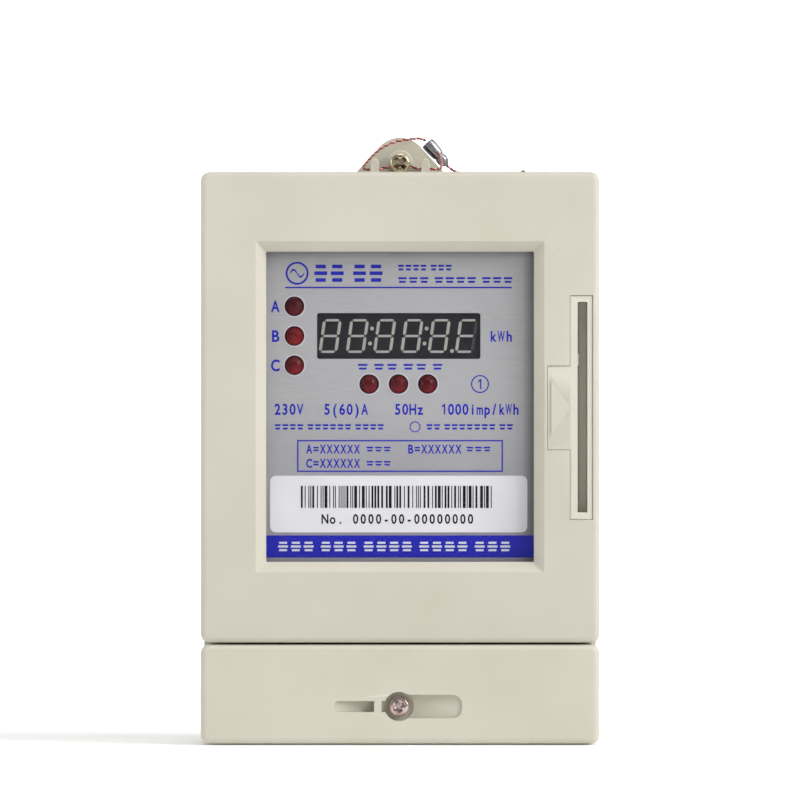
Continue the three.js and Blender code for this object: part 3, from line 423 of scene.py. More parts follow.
def srgb(red, green, blue):
    """An 8-bit sRGB colour as linear RGBA."""
    linear = []
    for value in (red / 255, green / 255, blue / 255):
        linear.append(value / 12.92 if value <= 0.04045 else ((value + 0.055) / 1.055) ** 2.4)
    return (*linear, 1.0)


class Finish:
    """A Principled material with the few nodes that vary it; lengths are in millimetres."""

    def __init__(self, name, colour, roughness, **sockets):
        self.material = bpy.data.materials.new(name)
        self.material.use_nodes = True
        self.tree = self.material.node_tree
        self.shader = self.tree.nodes["Principled BSDF"]
        self.roughness = roughness
        self.colour = None
        self.normal = None
        self.shader.inputs["Base Color"].default_value = colour
        self.shader.inputs["Roughness"].default_value = roughness
        for socket, value in sockets.items():
            self.shader.inputs[socket.replace("_", " ")].default_value = value
        self.coordinates = self.tree.nodes.new("ShaderNodeTexCoord").outputs

    def noise(self, size, detail=2.0, stretch=(1, 1, 1)):
        """Noise whose lumps are about size across, stretched along the axes."""
        mapping = self.tree.nodes.new("ShaderNodeMapping")
        mapping.inputs["Scale"].default_value = [1 / s for s in stretch]
        texture = self.tree.nodes.new("ShaderNodeTexNoise")
        texture.inputs["Scale"].default_value = 1 / (size * MM)
        texture.inputs["Detail"].default_value = detail
        self.tree.links.new(self.coordinates["Object"], mapping.inputs["Vector"])
        self.tree.links.new(mapping.outputs["Vector"], texture.inputs["Vector"])
        return texture.outputs["Fac"]

    def cells(self, size):
        """Distance to the nearest of points about size apart."""
        texture = self.tree.nodes.new("ShaderNodeTexVoronoi")
        texture.inputs["Scale"].default_value = 1 / (size * MM)
        self.tree.links.new(self.coordinates["Object"], texture.inputs["Vector"])
        return texture.outputs["Distance"]

    def stripes(self, size, axis):
        """Waves about size apart along an axis."""
        texture = self.tree.nodes.new("ShaderNodeTexWave")
        texture.bands_direction = axis
        texture.inputs["Scale"].default_value = 0.314 / (size * MM)
        self.tree.links.new(self.coordinates["Object"], texture.inputs["Vector"])
        return texture.outputs["Fac"]

    def along(self, axis):
        """How far along the piece, from 0 at its lower end to 1 at its upper one."""
        split = self.tree.nodes.new("ShaderNodeSeparateXYZ")
        self.tree.links.new(self.coordinates["Generated"], split.inputs["Vector"])
        return split.outputs[axis]

    def edges(self):
        """How convex the surface is: 0.5 where flat, more along an edge."""
        return self.tree.nodes.new("ShaderNodeNewGeometry").outputs["Pointiness"]

    def remap(self, value, start, end, low=0.0, high=1.0):
        """A value's range from start to end as low to high."""
        mapped = self.tree.nodes.new("ShaderNodeMapRange")
        mapped.inputs["From Min"].default_value = start
        mapped.inputs["From Max"].default_value = end
        mapped.inputs["To Min"].default_value = low
        mapped.inputs["To Max"].default_value = high
        self.tree.links.new(value, mapped.inputs["Value"])
        return mapped.outputs["Result"]

    def tint(self, value, colour):
        """Mixes the colour so far towards another where value is high."""
        mix = self.tree.nodes.new("ShaderNodeMix")
        mix.data_type = "RGBA"
        first, second = mix.inputs[6], mix.inputs[7]
        if self.colour:
            self.tree.links.new(self.colour, first)
        else:
            first.default_value = self.shader.inputs["Base Color"].default_value
        second.default_value = colour
        self.tree.links.new(value, mix.inputs[0])
        self.colour = mix.outputs[2]
        self.tree.links.new(self.colour, self.shader.inputs["Base Color"])
        return self

    def rough(self, value, by):
        """Varies the roughness by up to by each way, as value goes from 0.3 to 0.7."""
        low, high = self.roughness - by, self.roughness + by
        self.tree.links.new(self.remap(value, 0.3, 0.7, low, high), self.shader.inputs["Roughness"])
        return self

    def mottle(self, size, start, end, colour, most=1.0, detail=3, stretch=(1, 1, 1)):
        """Clouds of another colour, about size across, where noise goes from start to end."""
        return self.tint(self.remap(self.noise(size, detail, stretch), start, end, 0, most), colour)

    def grain(self, size, depth, strength, detail=3, stretch=(1, 1, 1)):
        """Bumps about size across."""
        return self.bump(self.noise(size, detail, stretch), depth, strength)

    def bump(self, value, depth, strength):
        """Raises the surface by up to depth where value is high."""
        node = self.tree.nodes.new("ShaderNodeBump")
        node.inputs["Distance"].default_value = depth * MM
        node.inputs["Strength"].default_value = strength
        self.tree.links.new(value, node.inputs["Height"])
        if self.normal:
            self.tree.links.new(self.normal, node.inputs["Normal"])
        self.normal = node.outputs["Normal"]
        self.tree.links.new(self.normal, self.shader.inputs["Normal"])
        return self


MOULDINGS = {  # colour, flow marks, specks, roughness and depth of the grain
    "ivory": ((194, 190, 177), (189, 184, 169), (172, 166, 150), 0.5, 0.012),
    "ivory_cover": ((197, 194, 179), (191, 187, 171), (173, 167, 150), 0.5, 0.012),
    "black": ((38, 38, 41), (30, 30, 34), (58, 58, 60), 0.45, 0.012),
    "white": ((236, 235, 228), (228, 226, 217), (212, 208, 198), 0.45, 0.012),
    "blue_epoxy": ((42, 82, 148), (34, 68, 128), (88, 124, 178), 0.3, 0.02),
}
METALS = {  # colour, tarnish, roughness, how its marks run and their depth
    "steel": ((212, 194, 190), (160, 134, 128), 0.24, (1, 1, 4), 0.004),
    "zinc": ((206, 194, 170), (150, 132, 104), 0.26, (1, 1, 4), 0.004),
    "brass": ((214, 178, 98), (158, 122, 62), 0.3, (4, 1, 1), 0.004),
    "copper": ((206, 132, 92), (140, 78, 52), 0.3, (1, 1, 6), 0.004),
    "lead": ((164, 165, 170), (118, 119, 126), 0.36, (1, 1, 1), 0.01),
}
INKS = {  # colour, and where the ink is thin
    "blue_ink": ((22, 30, 172), (48, 56, 182)),
    "black_ink": ((14, 14, 17), (40, 40, 44)),
    # The white finish serves the printed title and also the painted highlight rings round the LED holes.
    "white_ink_and_rim_highlight": ((214, 216, 224), (186, 188, 204)),
    "band": ((18, 23, 172), (30, 36, 178)),
}
RESINS = {  # colour and shade
    "segment": ((176, 175, 166), (150, 149, 142)),
    "segment_dim": ((52, 51, 53), (44, 43, 46)),
}
STRANDS = {  # colour and shade
    "copper_strand": ((226, 140, 128), (196, 98, 92)),
    "dark_strand": ((92, 42, 40), (50, 24, 26)),
}
# How strongly each LED's painted glow shows, from its dark reds to its bright ones.
LED_PAINTED_GLOW = {"a": 0.35, "b": 1.0, "c": 0.75, "1": 0.55, "2": 0.6, "3": 0.5}


def moulded(name, colour, shade, speck, roughness, depth):
    """Moulded plastic: faint flow marks, fine specks, a spark-eroded grain, and convex edges painted paler
    as a highlight.
    """
    finish = Finish(name, srgb(*colour), roughness, Specular_IOR_Level=0.45)
    finish.mottle(28, 0.35, 0.7, srgb(*shade))
    finish.mottle(0.55, 0.68, 0.76, srgb(*speck), 0.55)
    # Painted highlight: convex edges are tinted paler, as if they caught the light.
    finish.tint(finish.remap(finish.edges(), 0.52, 0.62, 0, 0.35), srgb(228, 225, 212))
    finish.rough(finish.noise(9, 3), 0.06)
    finish.grain(0.3, depth, 0.55)
    return finish.grain(16, 0.05, 0.25, 2).material


def metal(name, colour, tarnish, roughness, brushed, scratch):
    """Bare metal: a cloudy tarnish, fine marks along one axis and a slightly uneven shine."""
    finish = Finish(name, srgb(*colour), roughness, Metallic=1.0)
    finish.mottle(1.6, 0.42, 0.72, srgb(*tarnish), detail=4)
    finish.rough(finish.noise(0.7, 3, brushed), 0.08)
    finish.grain(0.12, scratch, 0.5, 4, brushed)
    return finish.grain(1.1, 0.02, 0.3, 2).material


def printed(name, colour, pale):
    """Screen-printed ink: slightly uneven cover."""
    finish = Finish(name, srgb(*colour), 0.45, Specular_IOR_Level=0.2)
    finish.mottle(0.25, 0.55, 0.85, srgb(*pale), 0.4)
    return finish.grain(0.1, 0.004, 0.4, 2).material


def resin(name, colour, shade):
    """A light guide filled with milky resin."""
    finish = Finish(name, srgb(*colour), 0.4, Subsurface_Weight=0.15)
    finish.mottle(0.35, 0.4, 0.7, srgb(*shade))
    return finish.grain(0.15, 0.004, 0.5, 2).material


def strand(name, colour, shade):
    """Enamelled wire with the enamel's runs along it."""
    finish = Finish(name, srgb(*colour), 0.32, Metallic=0.45, Coat_Weight=0.3, Coat_Roughness=0.2)
    finish.mottle(0.5, 0.4, 0.65, srgb(*shade))
    return finish.grain(0.2, 0.01, 0.4, 2).material


def led_finish(name, glow):
    """Red epoxy, dark above, with painted light: the lower part of the dome is tinted brighter, for the
    light that it gathers.
    """
    # Painted light: glow mixes each LED towards brighter reds.
    base = [a + (b - a) * glow for a, b in zip(srgb(40, 3, 8), srgb(98, 6, 14))]
    low = [a + (b - a) * glow for a, b in zip(srgb(70, 9, 17), srgb(150, 26, 36))]
    finish = Finish(name, base, 0.1, Specular_IOR_Level=0.08, Coat_Weight=0.12, Coat_Roughness=0.04)
    # Painted light: the brighter tint low in the dome.
    finish.tint(finish.remap(finish.along("Z"), 0.5, 0.12), low)
    finish.mottle(0.7, 0.45, 0.75, srgb(60, 4, 10), 0.35, 2)
    return finish.grain(0.9, 0.006, 0.3, 2).material


def lens_finish():
    finish = Finish("lens", (0.1, 0.105, 0.11, 1), 0.05, Alpha=0.04, IOR=1.49)
    finish.rough(finish.noise(14, 3), 0.03)
    return finish.grain(30, 0.02, 0.3, 2).material


def plate_finish():
    """Anodised sheet: satin, with a fine grain along its width, a painted reflection that darkens it towards
    the bottom, and painted shadow along its right and top edges.
    """
    finish = Finish("plate", srgb(180, 180, 182), 0.46, Metallic=0.3, Specular_IOR_Level=0.5)
    # Painted reflection: the sheet is tinted darker towards the bottom.
    finish.tint(finish.remap(finish.along("Z"), 0.5, 0.08), srgb(138, 135, 146))
    finish.mottle(0.3, 0.35, 0.7, srgb(160, 158, 164), 0.4, stretch=(12, 1, 1))
    finish.mottle(26, 0.4, 0.7, srgb(184, 183, 187), 0.3, 2)
    # Painted shadow: darker bands along the right edge and the top edge, where the window's walls shade the
    # sheet.
    finish.tint(finish.remap(finish.along("X"), 0.94, 0.985, 0, 0.85), srgb(92, 90, 88))
    finish.tint(finish.remap(finish.along("Z"), 0.96, 0.985, 0, 0.6), srgb(104, 101, 106))
    finish.rough(finish.noise(0.4, 3, (14, 1, 1)), 0.07)
    return finish.grain(0.14, 0.004, 0.5, stretch=(16, 1, 1)).material


def label_finish():
    finish = Finish("label", srgb(228, 227, 232), 0.4, Coat_Weight=0.2, Coat_Roughness=0.15)
    finish.mottle(12, 0.4, 0.7, srgb(219, 218, 225), 0.6)
    return finish.grain(0.5, 0.01, 0.4).material


def screen_finish():
    finish = Finish("screen", srgb(20, 20, 27), 0.3, Specular_IOR_Level=0.25, Coat_Weight=0.1)
    finish.mottle(5, 0.4, 0.7, srgb(29, 29, 36))
    return finish.grain(0.2, 0.003, 0.4).material


def board_finish():
    """Green solder mask over copper tracks."""
    finish = Finish("board", srgb(34, 98, 54), 0.36, Coat_Weight=0.4, Coat_Roughness=0.2)
    tracks = finish.remap(finish.stripes(2.4, "X"), 0.72, 0.78)
    finish.tint(tracks, srgb(52, 126, 66))
    finish.tint(finish.remap(finish.cells(3.1), 0.14, 0.12), srgb(196, 190, 160))
    finish.rough(finish.noise(4, 2), 0.06)
    return finish.bump(tracks, 0.03, 0.6).material


def ribbon_finish():
    """Grey ribbon cable with its cores side by side."""
    finish = Finish("ribbon", srgb(192, 192, 190), 0.42)
    cores = finish.stripes(1.27, "X")
    # Painted shade: the grooves between the cores are tinted darker.
    finish.tint(finish.remap(cores, 0.35, 0.05), srgb(132, 132, 134))
    return finish.bump(cores, 0.25, 0.8).material


def winding_finish():
    """Enamelled copper wire wound in layers."""
    finish = Finish("winding", srgb(186, 92, 46), 0.3, Metallic=0.7)
    turns = finish.stripes(0.5, "Z")
    # Painted shade: the valleys between turns are tinted darker.
    finish.tint(finish.remap(turns, 0.4, 0.1), srgb(96, 40, 22))
    finish.mottle(2, 0.45, 0.7, srgb(214, 128, 72), 0.5)
    return finish.bump(turns, 0.12, 0.8).material


def laminate_finish():
    """A stack of varnished steel sheets, edge on."""
    finish = Finish("laminate", srgb(112, 112, 116), 0.4, Metallic=0.85)
    sheets = finish.stripes(0.5, "Y")
    finish.tint(finish.remap(sheets, 0.4, 0.1), srgb(62, 62, 66))
    finish.mottle(3, 0.5, 0.75, srgb(120, 92, 70), 0.6)
    return finish.bump(sheets, 0.06, 0.8).material


def can_finish():
    """A capacitor's printed sleeve, shrunk on."""
    finish = Finish("can", srgb(36, 38, 52), 0.3, Coat_Weight=0.3, Coat_Roughness=0.2)
    finish.tint(finish.remap(finish.stripes(9, "X"), 0.9, 0.95), srgb(168, 170, 178))
    finish.mottle(2.5, 0.45, 0.7, srgb(46, 48, 64), 0.5)
    return finish.grain(1.5, 0.03, 0.4, 2).material


def ground_finish():
    """Pale paper that is lit from behind further out, where the lamps don't reach."""
    finish = Finish("ground", (0.93, 0.93, 0.925, 1), 0.7, Emission_Color=(1, 1, 1, 1))
    finish.mottle(300, 0.4, 0.7, (0.91, 0.91, 0.905, 1), detail=2)
    reach = finish.tree.nodes.new("ShaderNodeVectorMath")
    reach.operation = "LENGTH"
    finish.tree.links.new(finish.coordinates["Object"], reach.inputs[0])
    glow = finish.remap(reach.outputs["Value"], 0.3, 4.0, 0.08, 0.75)
    finish.tree.links.new(glow, finish.shader.inputs["Emission Strength"])
    return finish.grain(4, 0.05, 0.2).material


def make_finishes():
    """Every material of the model, by name."""
    made = {"lens": lens_finish(), "plate": plate_finish(), "label": label_finish()}
    made |= {"screen": screen_finish(), "board": board_finish(), "ribbon": ribbon_finish()}
    made |= {"winding": winding_finish(), "laminate": laminate_finish(), "can": can_finish()}
    made["ground"] = ground_finish()
    families = ((moulded, MOULDINGS), (metal, METALS), (printed, INKS), (resin, RESINS), (strand, STRANDS))
    for make, looks in families:
        made |= {name: make(name, *look) for name, look in looks.items()}
    for letter, glow in LED_PAINTED_GLOW.items():
        made[f"led_{letter}"] = led_finish(f"led_{letter}", glow)
    return made


# ------------------------------------------------------------------ sealing wire

# The wire's route as (x, depth, height): out of the seal, over the tab, through the left lug, the
# screw's head and the right lug, into the seal again, through it and down to the top face.
WIRE_ROUTE = [
    (6.8, 5.4, 161.5), (5.9, 6.7, 161.9), (4.6, 8.3, 162.0), (3.0, 9.8, 161.8),
    (1.0, 11.6, 161.5), (-1.2, 13.8, 161.0), (-3.4, 16.4, 160.1), (-5.4, 19.4, 158.9),
    (-7.1, 22.8, 157.4), (-8.5, 26.4, 155.8), (-9.5, 29.8, 154.5), (-9.9, 32.0, 153.7),
    (-9.2, 33.1, 153.3), (-8.0, 33.2, 153.3), (-6.8, 33.2, 153.3), (-5.4, 33.1, 153.4),
    (-3.9, 32.8, 153.7), (-2.4, 32.6, 153.9), (0.0, 32.6, 153.9), (2.4, 32.6, 153.9),
    (3.9, 32.8, 153.7), (5.4, 33.1, 153.4), (6.8, 33.2, 153.3), (8.2, 33.1, 153.3),
    (9.4, 32.4, 153.3), (10.2, 30.8, 153.3), (10.8, 28.2, 153.5), (11.1, 25.0, 154.1),
    (11.2, 21.0, 155.0), (11.1, 17.0, 156.0), (10.9, 13.5, 157.0), (10.6, 10.8, 157.8),
    (10.3, 9.0, 158.2), (10.1, 7.6, 158.2), (10.3, 6.3, 157.6), (11.1, 5.6, 156.6),
    (12.2, 5.4, 155.4), (13.2, 5.4, 154.35), (14.5, 5.5, 153.4), (16.2, 5.8, 152.8),
    (18.6, 6.4, 152.6), (21.5, 7.4, 152.55), (24.5, 8.6, 152.5), (27.5, 9.6, 152.5),
    (30.2, 10.4, 152.55), (32.4, 10.9, 152.8), (33.7, 11.1, 153.2),
]
STRAND_RADIUS = 0.19
STRAND_OFFSET = 0.2  # from the wire's axis
WIRE_LAY = 2.6  # length of one full twist


def smooth_route(points, step):
    """Points along a Catmull-Rom curve through the given ones, about step apart."""
    knots = [Vector(p) for p in points]
    knots = [2 * knots[0] - knots[1], *knots, 2 * knots[-1] - knots[-2]]
    line = []
    for a, b, c, d in zip(knots, knots[1:], knots[2:], knots[3:]):
        count = max(2, round((c - b).length / step))
        for i in range(count):
            t = i / count
            point = 2 * b + (c - a) * t + (2 * a - 5 * b + 4 * c - d) * t**2
            line.append(0.5 * (point + (3 * b - a - 3 * c + d) * t**3))
    line.append(knots[-2])
    return line


def carried_frames(line):
    """For each point of a line: its direction and two directions across it that don't twist."""
    frames = []
    across = Vector((0, 1, 0))
    for i, _ in enumerate(line):
        ahead = line[min(i + 1, len(line) - 1)] - line[max(i - 1, 0)]
        ahead.normalize()
        across = (across - ahead * across.dot(ahead)).normalized()
        frames.append((ahead, across.copy(), ahead.cross(across)))
    return frames


def tube(line, radius, sides):
    """A capped tube along a line."""
    rings = []
    for point, (_, u, v) in zip(line, carried_frames(line)):
        ring = []
        for side in range(sides):
            angle = 2 * math.pi * side / sides
            ring.append(point + radius * (math.cos(angle) * u + math.sin(angle) * v))
        rings.append(ring)
    return loft(rings)


def strand_line(line, phase):
    """The centreline of one of the twisted strands; the twist loosens and tightens a little."""
    chance = random.Random(11)
    turned = 0.0
    pace = 1.0
    last = line[0]
    strand_points = []
    for point, (_, u, v) in zip(line, carried_frames(line)):
        turned += 2 * math.pi * (point - last).length / WIRE_LAY * pace
        pace += (chance.uniform(0.75, 1.25) - pace) * 0.08
        last = point
        angle = turned + phase
        strand_points.append(point + STRAND_OFFSET * (math.cos(angle) * u + math.sin(angle) * v))
    return strand_points


def sealing_wire(finishes):
    line = smooth_route([(x, -depth, z) for x, depth, z in WIRE_ROUTE], 0.18)
    first, second = (tube(strand_line(line, phase), STRAND_RADIUS, 8) for phase in (0, math.pi))
    count = len(first.polygons)
    wire = place("sealing_wire", merged(first, second), finishes["copper_strand"])
    wire.data.materials.append(finishes["dark_strand"])
    for polygon in list(wire.data.polygons)[count:]:
        polygon.material_index = 1
    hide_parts("seal_wire_loop", "seal_wire_tail")


# ------------------------------------------------------------------ lead seal

SEAL_CENTRE = (10.0, 5.4, 157.9)
SEAL_LEAN = 48.0
SEAL_ROLL = -35.0


def seal_lobe():
    """The pinched end: a smooth oval that tapers to the wire."""
    stations = 14
    rings = []
    for i in range(stations + 1):
        t = i / stations
        bulge = math.sin(math.pi * min(0.98, 0.1 + 0.88 * t)) ** 0.62
        rings.append((0.3 + 3.9 * t, 1.78 * bulge, 1.5 * bulge))
    return loft([[Vector((x, 0, 0)) + oval for oval in ring_across(w, h, 20)] for x, w, h in rings])


def ring_across(width, height, sides):
    """An oval about the X axis."""
    points = []
    for i in range(sides):
        angle = 2 * math.pi * i / sides
        points.append(Vector((0, width * math.cos(angle), height * math.sin(angle))))
    return points


def seal_fold():
    """The folded end: a thick sheet rolled round the wire that doesn't quite close."""
    outer, inner = [], []
    for i in range(25):
        angle = math.radians(-62 + 304 * i / 24)
        swell = 1 + 0.06 * math.sin(3 * angle)
        outer.append((1.82 * swell * math.cos(angle), 1.82 * swell * math.sin(angle)))
        inner.append((1.02 * math.cos(angle), 1.02 * math.sin(angle)))
    outline = outer + inner[::-1]
    rings = []
    for x, scale in ((-4.1, 0.8), (-3.9, 0.95), (-3.2, 1.02), (-1.4, 1.0), (0.3, 0.9), (0.9, 0.74)):
        rings.append([Vector((x, a * scale, b * scale)) for a, b in outline])
    return soften(loft(rings), 0.16, 50)


def lead_seal(finishes):
    """The seal along X, pinched across its middle, then leaned onto the tab's slope."""
    mesh = merged(seal_lobe(), seal_fold())
    x, depth, z = SEAL_CENTRE
    lean = Matrix.Rotation(math.radians(SEAL_LEAN), 4, "Y")
    roll = Matrix.Rotation(math.radians(SEAL_ROLL), 4, "X")
    mesh.transform(Matrix.Translation((x, -depth, z)) @ lean @ roll)
    return place("lead_seal_crimp", mesh, finishes["lead"], "lead_seal")


# ------------------------------------------------------------------ housing


def grown(rectangle, by):
    x0, x1, z0, z1 = rectangle
    return (x0 - by, x1 + by, z0 - by, z1 + by)


def front_rings(foot, top):
    """A cover's outside, from its rear edge round onto its face."""
    outside = (-HALF_WIDTH, HALF_WIDTH, foot, top)
    rings = [at_depth(rounded(*outside, CORNER), COVER_START)]
    for step in range(7):
        angle = math.radians(15 * step)
        inset = EDGE * (1 - math.cos(angle))
        outline = rounded(*grown(outside, -inset), max(CORNER - inset, 0.8))
        rings.append(at_depth(outline, FACE - EDGE + EDGE * math.sin(angle)))
    flat = rounded(*grown(outside, -EDGE - FLAT_RIM), max(CORNER - EDGE, 0.8))
    return rings + [at_depth(flat, FACE)]


def hollow_rings(foot, top):
    """A cover's inside, from behind its face to its rear edge."""
    inside = rounded(*grown((-HALF_WIDTH, HALF_WIDTH, foot, top), -COVER_WALL), 0.6)
    return [at_depth(inside, FACE - FACE_WALL), at_depth(inside, COVER_START)]


def window_rings():
    """From the face down the bevel, round the lens's seat and out behind the face."""
    bevel = WINDOW_BEVEL
    lip = 0.14
    steps = [
        (bevel + lip + FLAT_RIM, FACE, 0.35),
        (bevel + lip, FACE, 0.35),
        (bevel, FACE - lip * 0.4, 0.35),
        (lip, FACE - bevel + lip * 0.7, 0.3),
        (0.0, FACE - bevel - lip * 0.4, 0.3),
        (0.0, LENS.d1 + 0.05, 0.3),
        (LENS_REBATE, LENS.d1 + 0.05, 0.5),
        (LENS_REBATE, COLLAR_REAR, 0.5),
        (COLLAR_MARGIN, COLLAR_REAR, 1.0),
        (COLLAR_MARGIN, FACE - FACE_WALL, 1.0),
    ]
    return [at_depth(rounded(*grown(WINDOW, by), radius), d) for by, d, radius in steps]


def insert_outline(clearance):
    """The card slot insert's outline, with the wing that carries the arrow."""
    x0, x1 = INSERT_X[0] - clearance, INSERT_X[1] + clearance
    z0, z1 = INSERT_Z[0] - clearance, INSERT_Z[1] + clearance
    wing, low, high = WING[0] - clearance, WING[1] - clearance, WING[2] + clearance
    return [(x0, z0), (x1, z0), (x1, z1), (x0, z1), (x0, high), (wing, high), (wing, low), (x0, low)]


def lug(x):
    """A slim post on the top wall, round at its top, drilled across for the sealing wire."""
    half = LUG_WIDTH / 2
    outline = [(x - half, BODY_TOP - 1), (x + half, BODY_TOP - 1)]
    outline += arc(x, LUG_TOP - half, half, 0, 180, 12)
    post = soften(prism(outline, *LUG_DEPTHS), 0.35, 50, 3)
    radius, depth, z = LUG_HOLE
    return post, along_x(pin(0, 0, radius, -3, 3, 24), x, depth, z)


def seal_ear():
    """The ear that the sealing screw clamps."""
    rim = arc(0, TAB_AXIS, 3.5, 0, 180, 20)
    outline = [(-5.6, BODY_TOP - 1), (5.6, BODY_TOP - 1), (5.6, 153.6), (3.5, 153.6)]
    outline += rim + [(-3.5, 153.6), (-5.6, 153.6)]
    return soften(prism(outline, COVER_START, 31.05), 0.25, 40)


def front_cover(finishes):
    rings = front_rings(FRONT_COVER_FOOT, BODY_TOP) + window_rings()
    shell = loft(rings + hollow_rings(FRONT_COVER_FOOT, BODY_TOP), closed=True)
    ears, cutters = [], []
    for x in (-EAR_X, EAR_X):
        z, radius = EAR_HOLE
        ears.append(box(x - 4, x + 4, COVER_START, 30.7, 15.5, 28.6))
        cutters.append(pin(x, z, radius, 27, 33, 24))
    left, right = lug(-LUG_X), lug(LUG_X)
    shell = fuse(shell, left[0], right[0], seal_ear(), *ears)
    bore = pin(0, TAB_AXIS, SCREW_BORE, 27, 35, 32)
    seat = prism(insert_outline(0.05), 61, 71)
    shell = carve(shell, left[1], right[1], bore, seat, *cutters)

    def seat_rim(p):
        return -p.y > FACE - 0.03 and 38.9 < p.x < 51.35 and 59 < p.z < 120

    shell = soften(shell, 0.13, 50, 2, seat_rim)
    place("front_cover_moulding", shell, finishes["ivory"], "front_cover")


def recess_cutters():
    """The channel across the screw: a ramp each side of its well, and a tunnel for a wire."""
    x, z = SCREW_X, SCREW_Z
    out = FACE + 1
    deep = FACE - RECESS_DEPTH
    below = FACE - 3.4
    left_plan = prism(rounded(-17.6, -4.6, z - GROOVE_HALF, z + GROOVE_HALF, 1.4, 10), FACE - 6, out)
    left_ramp = [(-18.6, out), (-18.6, FACE - 0.4), (-6.85, deep), (-6.85, out)]
    left = combine(left_plan, [prism_up(left_ramp, z - 3, z + 3)], "INTERSECT")
    right_plan = prism(rounded(x, 16.5, z - CHANNEL_HALF, z + CHANNEL_HALF, 2.6, 10), FACE - 6, out)
    right_ramp = [(x, out), (x, deep), (x + WELL_RADIUS, deep), (17.5, FACE - 0.4), (17.5, out)]
    right = combine(right_plan, [prism_up(right_ramp, z - 4, z + 4)], "INTERSECT")
    notch = box(-4.9, x, below, out, z - GROOVE_HALF, z + GROOVE_HALF)
    tunnel = box(-7.85, -3.9, below, FACE - 1.6, z - 1.17, z + 1.17)
    well = pin(x, z, WELL_RADIUS, FACE - 4, out, 64)
    return [left, right, notch, tunnel, well, pin(x, z, 2.05, 50, out, 32)]


def terminal_cover(finishes):
    top = TERMINAL_COVER.z1
    shell = loft(hollow_rings(0, top) + front_rings(0, top))
    pad = box(-20, 19, 63.5, 68.5, SCREW_Z - 5, SCREW_Z + 5)
    entry = prism_up([(-36, 27), (36, 27), (36, 45), (-36, 45)], -1, COVER_WALL + 1)
    notches = [box(x - 4.4, x + 4.4, 27, 31.1, 21.6, 27.6) for x in (-EAR_X, EAR_X)]
    shell = carve(fuse(shell, pad), entry, *notches, *recess_cutters())

    def recess_rim(p):
        return -p.y > FACE - 0.03 and abs(p.x) < 18.5 and abs(p.z - SCREW_Z) < 5

    def entry_rim(p):
        return p.z < 0.03 and abs(p.x) < 37 and -p.y < 45.5

    shell = soften(shell, 0.24, 40, 3, recess_rim)
    shell = soften(shell, 0.3, 50, 2, entry_rim)
    cover = finishes["ivory_cover"]
    place("terminal_cover_moulding", shell, cover, "terminal_cover", "terminal_cover")


# ------------------------------------------------------------------ window, nameplate, display


def window_lens(finishes):
    outline = rounded(LENS.x0, LENS.x1, LENS.z0, LENS.z1, 0.4)
    mesh = soften(prism(outline, LENS.d0, LENS.d1), 0.15, 60)
    place("window_lens_sheet", mesh, finishes["lens"], "window_lens")


def led_place(node):
    """An LED's middle and its tip's depth."""
    extent = limits(node)
    return (extent.x0 + extent.x1) / 2, (extent.z0 + extent.z1) / 2, extent.d1


def nameplate(finishes):
    sheet = prism(rounded(PLATE.x0, PLATE.x1, PLATE.z0, PLATE.z1, 0.6), PLATE.d0, PLATE.d1)
    cutters = [prism(rounded(*DISPLAY_HOLE, 0.6), PLATE.d0 - 1, PLATE.d1 + 1)]
    for node in LED_NODES:
        x, z, _ = led_place(node)
        cutters.append(pin(x, z, LED_RADIUS + 0.15, PLATE.d0 - 1, PLATE.d1 + 1, 40))
    sheet = soften(carve(sheet, *cutters), 0.16, 50, 2, lambda p: -p.y > PLATE.d1 - 0.03)
    place("nameplate_sheet", sheet, finishes["plate"], "nameplate")


def led(node, finishes):
    """A 5 mm LED: dome, barrel, flange and two legs."""
    x, z, tip = led_place(node)
    dome = []
    for step in range(13):
        angle = math.radians(90 * step / 12)
        dome.append((LED_RADIUS * math.sin(angle), tip - LED_RADIUS * (1 - math.cos(angle))))
    rear = tip - LED_LENGTH
    shoulder = rear + 1
    profile = dome + [(LED_RADIUS, rear + 1.1), (2.62, shoulder), (LED_FLANGE, shoulder)]
    profile += [(LED_FLANGE, rear), (0, rear)]
    shells = [lathe(profile, x, z, 40)]
    foot = limits(node).d0
    for leg in (x - LEG_X, x + LEG_X):
        shells.append(box(leg - LEG_HALF, leg + LEG_HALF, foot, rear + 0.1, z - LEG_HALF, z + LEG_HALF))
    place(f"{node}_body", merged(*shells), finishes[f"led_{node[-1]}"], node)


# Which of a digit's seven segments is which: top, upper left and right, middle, lower ones, foot.
SEGMENT_SPOTS = {
    "top": (0, 1, True),
    "upper_left": (-1, 0.5, False),
    "upper_right": (1, 0.5, False),
    "middle": (0, 0, True),
    "lower_left": (-1, -0.5, False),
    "lower_right": (1, -0.5, False),
    "foot": (0, -1, True),
}
DIGIT_HEIGHT = 9.0
DIGIT_WIDTH = 5.0
DIGIT_PITCH = 7.26
FIRST_DIGIT = -18.6
STROKE = {True: 0.62, False: 0.8}  # thickness of a level stroke and of an upright one
STROKE_GAP = 0.2
SLANT = math.tan(math.radians(8))
SCREEN_FRONT = DISPLAY.d1


def segment(cx, cz, spot):
    """One stroke of a digit about (cx, cz), pointed at both ends and slanted."""
    side, level, flat = SEGMENT_SPOTS[spot]
    reach_x = (DIGIT_WIDTH - STROKE[False]) / 2
    reach_z = (DIGIT_HEIGHT - STROKE[True]) / 2
    middle_x, middle_z = side * reach_x, level * reach_z
    half = (reach_x if flat else reach_z / 2) - STROKE_GAP
    t = STROKE[flat] / 2
    along = [(-half, 0), (-half + t, t), (half - t, t), (half, 0), (half - t, -t), (-half + t, -t)]
    outline = []
    for a, b in along:
        x, z = (middle_x + a, middle_z + b) if flat else (middle_x + b, middle_z + a)
        outline.append((cx + x + z * SLANT, cz + z))
    return prism(outline, SCREEN_FRONT, SCREEN_FRONT + 0.03)


def dot(x, z, radius=0.52):
    return prism(circle(x, z, radius, 24), SCREEN_FRONT, SCREEN_FRONT + 0.03)


